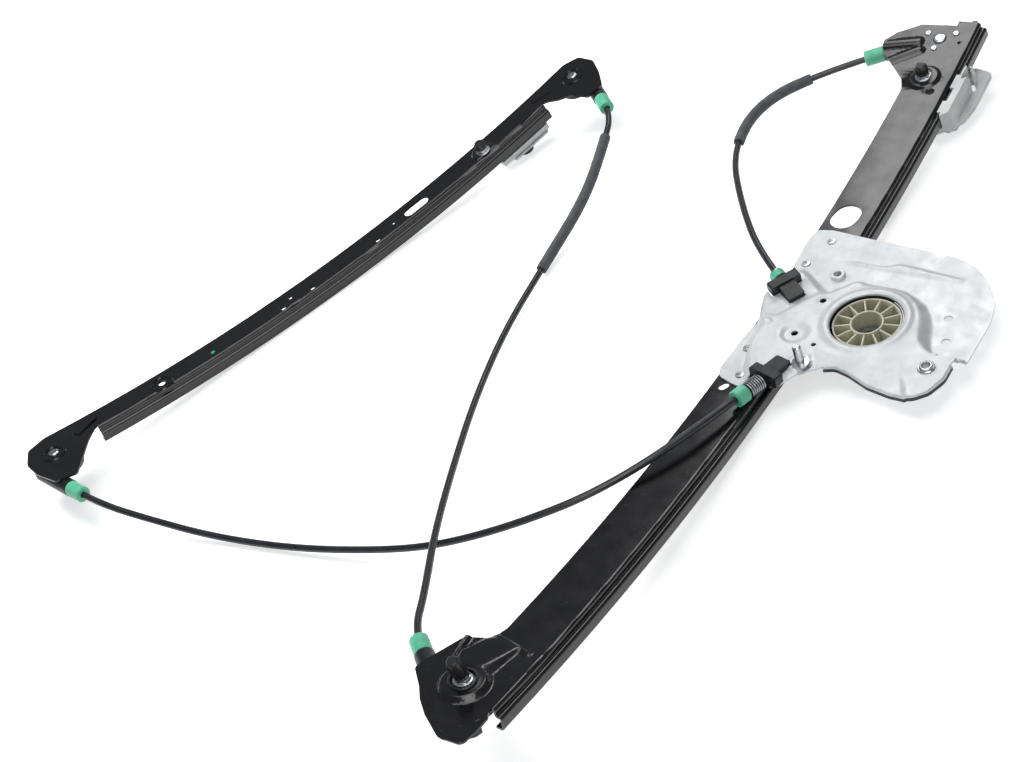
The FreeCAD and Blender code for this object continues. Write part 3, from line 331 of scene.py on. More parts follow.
# White nylon, injection moulded: cool off-white with soft shading.
CARRIER_NYLON = Finish("white_nylon", "#dcdedc", "#cacdcd", smooth=0.35, rough=0.5, patch_mm=14, grain_mm=0.8,
                       relief_mm=0.03, subsurface=0.2)
# Grey nylon, injection moulded: plain mid grey, seen through gaps alone.
PULLEY_NYLON = Finish("grey_nylon", "#77797b", "#68696c", smooth=0.4, rough=0.5, patch_mm=9, grain_mm=0.8,
                      relief_mm=0.03)
# Lacquer dabbed on by brush at inspection: one small spot with a wet gloss.
PAINT_DAB = Finish("inspection_paint", "#1f8f63", "#2aa876", smooth=0.3, rough=0.45, patch_mm=2, grain_mm=0.6,
                   relief_mm=0.05)

# Each finish with the record's slot and the model's own nodes that wear it.
DRESS = {
    RAIL_BLACK: ("rail_black", ["main_rail", "side_rail"]),
    PLATE_ZINC: ("plate_zinc", ["motor_plate"]),
    BRIGHT_ZINC: ("zinc_hardware", ["main_upper_stud", "main_lower_stud", "side_stud", "plate_rivets",
                                    "plate_bush",
                                    "plate_stud", "main_upper_pin", "side_upper_pin", "side_lower_pin",
                                    "head_rivets", "main_clamp_bolt", "side_clamp_bolt", "collar_ring"]),
    ACETAL_BLACK: ("housing_black", ["main_upper_housing", "main_lower_housing", "side_upper_housing",
                                     "side_lower_housing", "upper_outlet", "lower_outlet", "drum_cover",
                                     "stud_caps",
                                     "main_clamp_pad", "side_clamp_pad"]),
    SLEEVE_GREEN: ("sleeve_green", ["main_upper_sleeve", "main_lower_sleeve", "side_upper_sleeve",
                                    "side_lower_sleeve", "upper_collar", "spring_cap"]),
    CONDUIT_JACKET: ("conduit_grey", ["upper_conduit", "lower_conduit", "cross_conduit"]),
    FOAM_GREY: ("foam_grey", ["upper_foam", "cross_foam"]),
    CABLE_STEEL: ("cable_steel", ["main_rail_cable", "side_rail_cable", "drum_feed_cables", "wound_cable",
                                  "tension_spring", "main_nipple", "side_nipple", "drive_insert",
                                  "main_glass_clamp", "side_glass_clamp"]),
    DRUM_NYLON: ("drum_nylon", ["cable_drum"]),
    CARRIER_NYLON: ("carrier_nylon", ["main_slider", "side_slider"]),
    PULLEY_NYLON: ("carrier_nylon", ["main_upper_pulley", "main_lower_pulley", "side_upper_pulley",
                                     "side_lower_pulley"]),
    PAINT_DAB: ("sleeve_green", []),
}


class Wardrobe:
    """Makes each material once and dresses the model's own pieces."""

    made: dict[str, bpy.types.Material] = {}

    @classmethod
    def cloth(cls, finish: Finish) -> bpy.types.Material:
        """The material of a finish, made at its first use."""
        if finish.name not in cls.made:
            cls.made[finish.name] = finish.material()
        return cls.made[finish.name]

    @classmethod
    def dress(cls, nodes: dict[str, bpy.types.Object]) -> None:
        """Give every node of the model its finish.

        Args:
            nodes: the model's nodes by name.
        """
        for finish, (_, names) in DRESS.items():
            for name in names:
                slots = nodes[name].data.materials
                slots.clear()
                slots.append(cls.cloth(finish))
                LOG.info("%s is %s", name, finish.name)


def finished(name: str, form: bmesh.types.BMesh, finish: Finish, body: str,
             crisp: float = PLAIN_CRISP) -> bpy.types.Object:
    """Turn a bmesh into a dressed piece that rides on a body.

    Args:
        name: the piece's name.
        form: its shape, in the shared frame, in metres.
        finish: what it is made of.
        body: the body it moves with.
        crisp: the angle past which its edges are shaded crisp.

    Returns:
        The new object.
    """
    mesh = bpy.data.meshes.new(name)
    form.to_mesh(mesh)
    form.free()
    for face in mesh.polygons:
        face.use_smooth = True
    mesh.set_sharp_from_angle(angle=crisp)
    piece = bpy.data.objects.new(name, mesh)
    bpy.context.scene.collection.objects.link(piece)
    mesh.materials.append(Wardrobe.cloth(finish))
    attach(piece, body)
    LOG.info("%s: %d faces", name, len(mesh.polygons))
    return piece


def placed(name: str, form: bmesh.types.BMesh, place: Matrix, finish: Finish,
           body: str = FRAME_BODY) -> bpy.types.Object:
    """Move a form from its drawing into the model, and dress it.

    Args:
        name: the piece's name.
        form: its shape on the drawing, in millimetres.
        place: where the drawing lies in the model, in millimetres.
        finish: what the piece is made of.
        body: the body it moves with.

    Returns:
        The new object.
    """
    bmesh.ops.transform(form, matrix=Matrix.Scale(MM, 4) @ place, verts=form.verts)
    return finished(name, form, finish, body, TURNED_CRISP)


def turned(profile: Sequence[Plan], steps: int = 48) -> bmesh.types.BMesh:
    """Turn a profile round the Z axis.

    Args:
        profile: radius and height of each corner, in millimetres.
        steps: how many facets the turn has.

    Returns:
        The closed form, in millimetres.
    """
    form = bmesh.new()
    corners = [form.verts.new((max(radius, 0.0), 0.0, z)) for radius, z in profile]
    edges = [form.edges.new(pair) for pair in zip(corners, corners[1:])]
    if profile[0][0] > 0.01 or profile[-1][0] > 0.01:
        edges.append(form.edges.new((corners[-1], corners[0])))
    bmesh.ops.spin(form, geom=corners + edges, cent=(0, 0, 0), axis=(0, 0, 1), angle=2 * math.pi, steps=steps,
                   use_merge=True)
    bmesh.ops.remove_doubles(form, verts=form.verts, dist=0.001)
    bmesh.ops.recalc_face_normals(form, faces=form.faces)
    return form


def block(form: bmesh.types.BMesh, low: Point, high: Point, bevel: float = 0.3) -> list[bmesh.types.BMVert]:
    """Add a box with bevelled edges to a form.

    Args:
        form: the form that takes the box.
        low: its lowest corner, in millimetres.
        high: its highest corner.
        bevel: the width of its bevels.

    Returns:
        The box's vertices.
    """
    size = Vector(high) - Vector(low)
    middle = (Vector(high) + Vector(low)) / 2
    made = bmesh.ops.create_cube(form, size=1.0, matrix=Matrix.Translation(middle) @ Matrix.Diagonal((*size,
                                                                                                      1.0)))
    edges = list({edge for vert in made["verts"] for edge in vert.link_edges})
    cut = bmesh.ops.bevel(form, geom=edges, offset=bevel, offset_type="OFFSET", affect="EDGES", segments=2,
                          profile=0.5, material=-1)
    return cut["verts"]


class Shows(Enum):
    """What surfaces a lamp reaches."""

    EVERYWHERE = "lights surfaces and shows in their gloss"
    LIGHT_ONLY = "lights surfaces without showing in gloss"
    CARD = "only shows in gloss, as a white card beside the object does"


@dataclass(frozen=True)
class Lamp:
    """One soft square lamp that points at the middle of the object; metres and watts."""

    name: str
    at: Point
    size: float
    watts: float
    shows: Shows = Shows.EVERYWHERE
    aim: Point = (-0.22, -0.02, 0.0)

    def hang(self) -> None:
        """Put the lamp in the scene."""
        data = bpy.data.lights.new(self.name, "AREA")
        data.size = self.size
        data.energy = self.watts
        lamp = bpy.data.objects.new(self.name, data)
        bpy.context.scene.collection.objects.link(lamp)
        turn = (Vector(self.aim) - Vector(self.at)).to_track_quat("-Z", "Y").to_matrix().to_4x4()
        lamp.matrix_world = Matrix.Translation(self.at) @ turn
        lamp.visible_glossy = self.shows is not Shows.LIGHT_ONLY
        lamp.visible_diffuse = self.shows is not Shows.CARD


@dataclass
class Studio:
    """Camera at the photograph's place, soft lamps, and a pale floor."""

    camera_at: Point = (0.4595, -0.6882, 0.7574)
    right: Point = (0.7853, 0.5347, -0.3120)
    up: Point = (-0.1938, 0.6910, 0.6964)
    back: Point = (0.5880, -0.4864, 0.6463)
    lens_mm: float = 56.25
    sensor_mm: float = 36.0
    sky_colour: str = "#dfe3e8"
    sky_strength: float = 0.3
    floor_colour: str = "#f4f4f4"
    floor_glow: float = 0.57
    floor_half: float = 6.0
    lamps: tuple[Lamp, ...] = (
        Lamp("overhead_lamp", (-0.2, 0.1, 1.8), 1.2, 10.8),
        Lamp("key_lamp", (-1.3, 0.1, 0.95), 0.6, 17.0, Shows.LIGHT_ONLY),
        Lamp("front_fill", (0.9, -1.3, 0.7), 1.0, 3.2),
        Lamp("rail_card", (-0.5, 1.1, 1.26), 0.6, 5.5, Shows.CARD),
        Lamp("front_card", (0.6, -0.55, 1.35), 1.0, 12.0, Shows.CARD))

    def place_camera(self) -> None:
        """Create the camera and make it the scene's own."""
        data = bpy.data.cameras.new("studio_camera")
        data.lens = self.lens_mm
        data.sensor_width = self.sensor_mm
        data.clip_start = 0.01
        camera = bpy.data.objects.new("studio_camera", data)
        bpy.context.scene.collection.objects.link(camera)
        turn = Matrix((self.right, self.up, self.back)).transposed().to_4x4()
        camera.matrix_world = Matrix.Translation(self.camera_at) @ turn
        bpy.context.scene.camera = camera

    def light(self) -> None:
        """Hang the lamps and set a dim sky, which the camera sees as white."""
        for lamp in self.lamps:
            lamp.hang()
        world = bpy.data.worlds.new("studio_world")
        bpy.context.scene.world = world
        world.use_nodes = True
        tree = world.node_tree
        tree.nodes.clear()
        dim = add(tree, "ShaderNodeBackground", {"Color": linear(self.sky_colour),
                                                 "Strength": self.sky_strength})
        white = add(tree, "ShaderNodeBackground", {"Color": WHITE, "Strength": 1.0})
        rays = add(tree, "ShaderNodeLightPath")
        shown = add(tree, "ShaderNodeMixShader",
                    {0: rays.outputs["Is Camera Ray"], 1: dim.outputs[0], 2: white.outputs[0]})
        add(tree, "ShaderNodeOutputWorld", {"Surface": shown.outputs[0]})

    def floor_paper(self) -> bpy.types.Material:
        """Matte white paper that the camera and mirrors see a little lighter than its shadows make it.

        Returns:
            The floor's material.
        """
        paper = bpy.data.materials.new("floor_paper")
        paper.use_nodes = True
        tree = paper.node_tree
        tree.nodes.clear()
        plain = add(tree, "ShaderNodeBsdfDiffuse", {"Color": linear(self.floor_colour)})
        lift = add(tree, "ShaderNodeEmission", {"Color": WHITE, "Strength": self.floor_glow})
        both = add(tree, "ShaderNodeAddShader", {0: plain.outputs[0], 1: lift.outputs[0]})
        rays = add(tree, "ShaderNodeLightPath")
        seen = add(tree, "ShaderNodeMath", {0: rays.outputs["Is Camera Ray"],
                                            1: rays.outputs["Is Glossy Ray"]},
                   operation="MAXIMUM")
        shown = add(tree, "ShaderNodeMixShader", {0: seen.outputs[0], 1: plain.outputs[0],
                                                  2: both.outputs[0]})
        add(tree, "ShaderNodeOutputMaterial", {"Surface": shown.outputs[0]})
        return paper

    def lay_floor(self, level: float) -> None:
        """Lay the pale floor that the part stands on.

        Args:
            level: the floor's height in metres.
        """
        form = bmesh.new()
        bmesh.ops.create_grid(form, x_segments=1, y_segments=1, size=self.floor_half)
        bmesh.ops.translate(form, verts=form.verts, vec=(0, 0, level))
        mesh = bpy.data.meshes.new("studio_floor")
        form.to_mesh(mesh)
        form.free()
        floor = bpy.data.objects.new("studio_floor", mesh)
        bpy.context.scene.collection.objects.link(floor)
        mesh.materials.append(self.floor_paper())
        floor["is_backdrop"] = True


@dataclass
class Conduit:
    """One flexible cable conduit, with the foam sleeve that some carry; in metres."""

    name: str
    node: str
    route: list[Point]
    length: float
    foam_node: str = ""
    foam_from: float = 0.0
    foam_to: float = 0.0
    radius: float = 2.6 * MM
    foam_radius: float = 4.5 * MM
    foam_facets: int = 28
    foam_end_share: float = 0.93
    slit_depth: float = 0.9 * MM
    slit_turn: float = 60.0
    pieces: list[bpy.types.Object] = field(default_factory=list)

    def spline(self) -> bpy.types.Object:
        """Draw the conduit's smooth centreline.

        Returns:
            The curve, without thickness.
        """
        curve = bpy.data.curves.new(self.name, "CURVE")
        curve.dimensions = "3D"
        curve.resolution_u = 16
        line = curve.splines.new("NURBS")
        line.points.add(len(self.route) - 1)
        for point, place in zip(line.points, self.route):
            point.co = (*place, 1.0)
        line.order_u = 3
        line.use_endpoint_u = True
        piece = bpy.data.objects.new(self.name, curve)
        bpy.context.scene.collection.objects.link(piece)
        return piece

    def walk(self, piece: bpy.types.Object) -> list[Vector]:
        """Read points along the smooth line.

        Args:
            piece: the curve, without thickness.

        Returns:
            The points, from the conduit's first end.
        """
        bpy.context.view_layer.update()
        mesh = bpy.data.meshes.new_from_object(piece)
        points = [vertex.co.copy() for vertex in mesh.vertices]
        bpy.data.meshes.remove(mesh)
        return points

    def sleeve(self, line: list[Vector]) -> bpy.types.Object:
        """Foam tube with a slit along it, over one stretch of the conduit.

        Args:
            line: points along the conduit.

        Returns:
            The dressed sleeve.
        """
        done = 0.0
        stretch = []
        for here, after in zip(line, line[1:]):
            if self.foam_from <= done <= self.foam_to:
                stretch.append(here)
            done += (after - here).length
        form = bmesh.new()
        side = Vector((0.0, 0.0, 1.0))
        slit = round(self.slit_turn / 360 * self.foam_facets)
        before: list[bmesh.types.BMEdge] = []
        for i, centre in enumerate(stretch):
            ahead = (stretch[min(i + 1, len(stretch) - 1)] - stretch[max(i - 1, 0)]).normalized()
            side = (side - ahead * side.dot(ahead)).normalized()
            turn = Matrix((side, ahead.cross(side), ahead)).transposed().to_4x4()
            swell = 1.0 + 0.012 * math.sin(i * 1.7)
            radius = self.foam_radius * swell
            if i in (0, len(stretch) - 1):
                radius *= self.foam_end_share
            made = bmesh.ops.create_circle(form, segments=self.foam_facets, radius=radius,
                                           matrix=Matrix.Translation(centre) @ turn)
            corner = made["verts"][slit]
            corner.co = centre + (corner.co - centre) * (1 - self.slit_depth / self.foam_radius)
            ring = list({edge for corner in made["verts"] for edge in corner.link_edges})
            if before:
                bmesh.ops.bridge_loops(form, edges=before + ring)
            before = ring
        ends = [e for e in form.edges if e.is_boundary]
        bmesh.ops.holes_fill(form, edges=ends, sides=40)
        bmesh.ops.recalc_face_normals(form, faces=form.faces)
        return finished(self.name + "_foam", form, FOAM_GREY, FRAME_BODY)

    def build(self) -> None:
        piece = self.spline()
        line = self.walk(piece)
        if self.foam_node:
            foam = self.sleeve(line)
            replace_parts(foam, self.foam_node)
            self.pieces.append(foam)
        piece.data.bevel_depth = self.radius
        piece.data.bevel_resolution = 5
        piece.data.use_fill_caps = True
        piece.data.materials.append(Wardrobe.cloth(CONDUIT_JACKET))
        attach(piece, FRAME_BODY)
        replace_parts(piece, self.node)
        length = sum((b - a).length for a, b in zip(line, line[1:]))
        LOG.info("%s runs %.0f mm", self.name, length / MM)


def routes() -> list[Conduit]:
    """Set out the three conduits, whose routes repeat the solids' in metres.

    Returns:
        The conduits.
    """
    upper = [(-0.064, 0.0134, 0.0059), (-0.1002, 0.0373, 0.013), (-0.143, 0.087, 0.013),
             (-0.1835, 0.1465, 0.011),
             (-0.193, 0.209, 0.0095), (-0.1588, 0.2544, 0.0103), (-0.1193, 0.2776, 0.0144)]
    lower = [(-0.5084, -0.328, 0.0093), (-0.4785, -0.3305, 0.0081), (-0.44, -0.323, -0.003),
             (-0.38, -0.3135, -0.012), (-0.306, -0.3, -0.012), (-0.232, -0.281, -0.006),
             (-0.187, -0.267, 0.002),
             (-0.138, -0.241, 0.012), (-0.092, -0.2005, 0.018), (-0.0572, -0.1315, 0.0171),
             (-0.0392, -0.0586, 0.0059)]
    cross = [(-0.3266, 0.1805, 0.0168), (-0.3113, 0.1677, 0.0156), (-0.303, 0.137, 0.009),
             (-0.292, 0.084, -0.003),
             (-0.289, 0.012, -0.011), (-0.279, -0.063, -0.012), (-0.256, -0.136, -0.009),
             (-0.224, -0.204, 0.0),
             (-0.19, -0.266, 0.012), (-0.155, -0.318, 0.024), (-0.1395, -0.3453, 0.03),
             (-0.1235, -0.357, 0.0328)]
    return [Conduit("upper_conduit_jacket", "upper_conduit", upper, 0.343,
                    foam_node="upper_foam", foam_from=0.190, foam_to=0.290),
            Conduit("lower_conduit_jacket", "lower_conduit", lower, 0.601),
            Conduit("cross_conduit_jacket", "cross_conduit", cross, 0.594,
                    foam_node="cross_foam", foam_from=0.042, foam_to=0.190)]


@dataclass(frozen=True)
class BentRail:
    """Where a rail's bent web lies; lengths run up the rail from its lowest point, in millimetres."""

    edge_x: float
    low_y: float
    level: float
    turn: float = 0.0
    radius: float = 1630.0

    def at(self, x: float, length: float) -> Matrix:
        """Place a drawing on the web, square to it.

        Args:
            x: distance from the web's left edge.
            length: distance up the rail.

        Returns:
            Matrix from the drawing to the model, in millimetres.
        """
        away = Matrix.Translation((self.edge_x, self.low_y, self.level))
        swing = Matrix.Rotation(math.radians(self.turn), 4, "Z")
        bend = Matrix.Translation((0, 0, self.radius)) @ Matrix.Rotation(length / self.radius, 4, "X")
        return away @ swing @ bend @ Matrix.Translation((x, 0, -self.radius))


MAIN_RAIL = BentRail(-78.7, 6.9, 0.0)
SIDE_RAIL = BentRail(-491.9, -70.3, -1.5, -20.26)
UPPER_STUD_AT = (13.0, 244.0)
LOWER_STUD_AT = (5.8, -384.1)
SIDE_STUD_AT = (16.0, 195.0)
LOW_HEAD_AT = (0.0, LOWER_STUD_AT[1])
HIGH_HEAD_AT = (0.0, 286.6)
PAINT_DAB_AT = (14.9, -94.4)


def inside(x: float, y: float, loop: Sequence[Plan]) -> bool:
    """Whether a plan point lies inside a closed loop.

    Args:
        x: the point's x.
        y: the point's y.
        loop: the loop's corners.

    Returns:
        True inside the loop.
    """
    hit = False
    for (xa, ya), (xb, yb) in zip(loop, loop[1:] + loop[:1]):
        if (ya > y) != (yb > y) and x < (xb - xa) * (y - ya) / (yb - ya) + xa:
            hit = not hit
    return hit


def reach(x: float, y: float, line: Sequence[Plan], closed: bool = True) -> float:
    """Distance from a plan point to the nearest place on a line.

    Args:
        x: the point's x.
        y: the point's y.
        line: the line's corners.
        closed: whether its end joins its start.

    Returns:
        The distance, in the units of the points.
    """
    best = math.inf
    ends = line[1:] + line[:1] if closed else line[1:]
    for (xa, ya), (xb, yb) in zip(line, ends):
        dx, dy = xb - xa, yb - ya
        share = max(0.0, min(1.0, ((x - xa) * dx + (y - ya) * dy) / (dx * dx + dy * dy)))
        best = min(best, math.hypot(x - xa - share * dx, y - ya - share * dy))
    return best


def eased(share: float) -> float:
    """Soft step from 0 to 1, straight in its middle."""
    share = max(0.0, min(1.0, share))
    return 0.45 * share + 0.55 * share * share * (3 - 2 * share)


def climbed(x: float, y: float, top: Sequence[Plan], foot: Sequence[Plan]) -> float:
    """How far up a pressed wall a plan point lies.

    Args:
        x: the point's x.
        y: the point's y.
        top: outline of the wall's top.
        foot: outline of its foot, outside the top's.

    Returns:
        0 outside the foot, 1 inside the top, and the share of the way between them.
    """
    if inside(x, y, top):
        return 1.0
    if not inside(x, y, foot):
        return 0.0
    out = reach(x, y, foot)
    return out / max(out + reach(x, y, top), 1e-6)


def ring_bead(x: float, y: float, centre: Plan, radius: float, width: float, rise: float) -> float:
    """Height of a soft round bead that runs in a ring.

    Args:
        x: the plan point's x.
        y: the plan point's y.
        centre: the ring's centre.
        radius: the ring's radius.
        width: the bead's half width.
        rise: its height.

    Returns:
        The height at the point.
    """
    away = math.hypot(x - centre[0], y - centre[1])
    return rise * math.exp(-(((away - radius) / width) ** 2))


@dataclass
class Pressing:
    """A flat blank with holes, cut into a fine net and pressed to a height; sizes in millimetres.

    Outline corners are x, y and the corner's radius; holes are x, y and radius.
    """

    name: str = ""
    sheet: float = 1.3
    step: float = 1.5
    outline: tuple[Point, ...] = ()
    holes: tuple[Point, ...] = ()
    keyholes: tuple[Plan, ...] = ()
    keyhole: float = 3.2
    net_shift: float = 0.137

    @property
    def edge(self) -> list[Plan]:
        """The outline's corners without their radii."""
        return [point[:2] for point in self.outline]

    def height(self, x: float, y: float) -> float:
        """Height of the pressed sheet's upper face at a plan point."""
        return 0.0

    def outlined(self) -> bmesh.types.BMesh:
        """Draw the blank's outline with its corners rounded.

        Returns:
            The outline, without a face.
        """
        form = bmesh.new()
        corners = [form.verts.new((x, y, 0.0)) for x, y, _ in self.outline]
        form.faces.new(corners)
        for i, (x, y, radius) in enumerate(self.outline):
            xa, ya, _ = self.outline[i - 1]
            xb, yb, _ = self.outline[(i + 1) % len(corners)]
            one = math.atan2(y - ya, x - xa)
            two = math.atan2(yb - y, xb - x)
            turn = abs((two - one + math.pi) % (2 * math.pi) - math.pi)
            room = 0.45 * min(math.hypot(x - xa, y - ya), math.hypot(xb - x, yb - y))
            size = min(radius * math.tan(min(turn, 3.0) / 2), room)
            if size > 0.1:
                bmesh.ops.bevel(form, geom=[corners[i]], offset=size, offset_type="OFFSET", affect="VERTICES",
                                segments=5, profile=0.5, material=-1)
        bmesh.ops.delete(form, geom=list(form.faces), context="FACES_ONLY")
        return form

    def blank(self) -> bmesh.types.BMesh:
        """Cut the flat blank with its holes into a fine net.

        Returns:
            The net, flat.
        """
        form = self.outlined()
        for x, y, radius in self.holes:
            bmesh.ops.create_circle(form, segments=96 if radius > 20 else 24, radius=radius,
                                    matrix=Matrix.Translation((x, y, 0)))
        for x, y in self.keyholes:
            bmesh.ops.create_circle(form, segments=12, radius=self.keyhole,
                                    matrix=Matrix.Translation((x, y, 0)))
        bmesh.ops.triangle_fill(form, use_beauty=True, use_dissolve=False, edges=form.edges, normal=(0, 0, 1))
        for axis in (0, 1):
            low = min(point[axis] for point in self.outline)
            high = max(point[axis] for point in self.outline)
            across = [0.0, 0.0, 0.0]
            across[axis] = 1.0
            for i in range(1, int((high - low) / self.step)):
                cut = low + i * self.step + self.net_shift
                place = [0.0, 0.0, 0.0]
                place[axis] = cut
                touched = [f for f in form.faces
                           if min(v.co[axis] for v in f.verts) < cut < max(v.co[axis] for v in f.verts)]
                edges = {e for f in touched for e in f.edges}
                verts = {v for f in touched for v in f.verts}
                bmesh.ops.bisect_plane(form, geom=list(verts) + list(edges) + touched, dist=1e-4,
                                       plane_co=place,
                                       plane_no=across)
        return form

    def pressed(self) -> bmesh.types.BMesh:
        """Raise the blank to its heights.

        Returns:
            The pressed sheet's upper face.
        """
        form = self.blank()
        for vert in form.verts:
            vert.co.z = self.height(vert.co.x, vert.co.y)
        return form

    def rims(self, form: bmesh.types.BMesh, chosen: Callable[[float, float],
                                                             bool]) -> list[bmesh.types.BMEdge]:
        """Find the sheet's open edges whose middles a test accepts.

        Args:
            form: the pressed sheet.
            chosen: the test, by plan x and y.

        Returns:
            The edges.
        """
        found = []
        for edge in form.edges:
            middle = (edge.verts[0].co + edge.verts[1].co) / 2
            if edge.is_boundary and chosen(middle.x, middle.y):
                found.append(edge)
        return found

    def turn_down(self, form: bmesh.types.BMesh, edges: list[bmesh.types.BMEdge], depth: float, flare: float,
                  centre: Vector) -> None:
        """Turn a run of the sheet's edge down in a rounded bend.

        Args:
            form: the pressed sheet.
            edges: the edges to turn.
            depth: how far down the edge ends.
            flare: how far away from the centre it ends.
            centre: the point that the edge moves away from.
        """
        run = edges
        bend = ((0.45, 0.12), (0.35, 0.28), (0.2, 0.6))
        for i, (share_out, share_down) in enumerate(bend):
            made = bmesh.ops.extrude_edge_only(form, edges=run)["geom"]
            run = [g for g in made if isinstance(g, bmesh.types.BMEdge)]
            for vert in {v for e in run for v in e.verts}:
                away = vert.co - centre
                away.z = 0.0
                vert.co += away.normalized() * flare * share_out + Vector((0, 0, -depth * share_down))
            # The last bend takes the piece's second material; on the motor plate that material is painted
            # shade.
            if i == len(bend) - 1:
                for face in (g for g in made if isinstance(g, bmesh.types.BMFace)):
                    face.material_index = 1

    def thickened(self, form: bmesh.types.BMesh, place: Matrix, finish: Finish,
                  edge_finish: Finish) -> bpy.types.Object:
        """Give the sheet its thickness below its upper face, and dress it.

        Args:
            form: the pressed sheet, in millimetres.
            place: where it goes, in millimetres.
            finish: the sheet's finish.
            edge_finish: the finish of its turned edge's last bend; on the motor plate this is painted shade.

        Returns:
            The dressed piece.
        """
        bmesh.ops.recalc_face_normals(form, faces=form.faces)
        if sum(face.normal.z for face in form.faces) < 0:
            bmesh.ops.reverse_faces(form, faces=form.faces)
        bmesh.ops.solidify(form, geom=list(form.faces), thickness=self.sheet)
        bmesh.ops.transform(form, matrix=Matrix.Scale(MM, 4) @ place, verts=form.verts)
        piece = finished(self.name, form, finish, FRAME_BODY, PRESSED_CRISP)
        piece.data.materials.append(Wardrobe.cloth(edge_finish))
        return piece


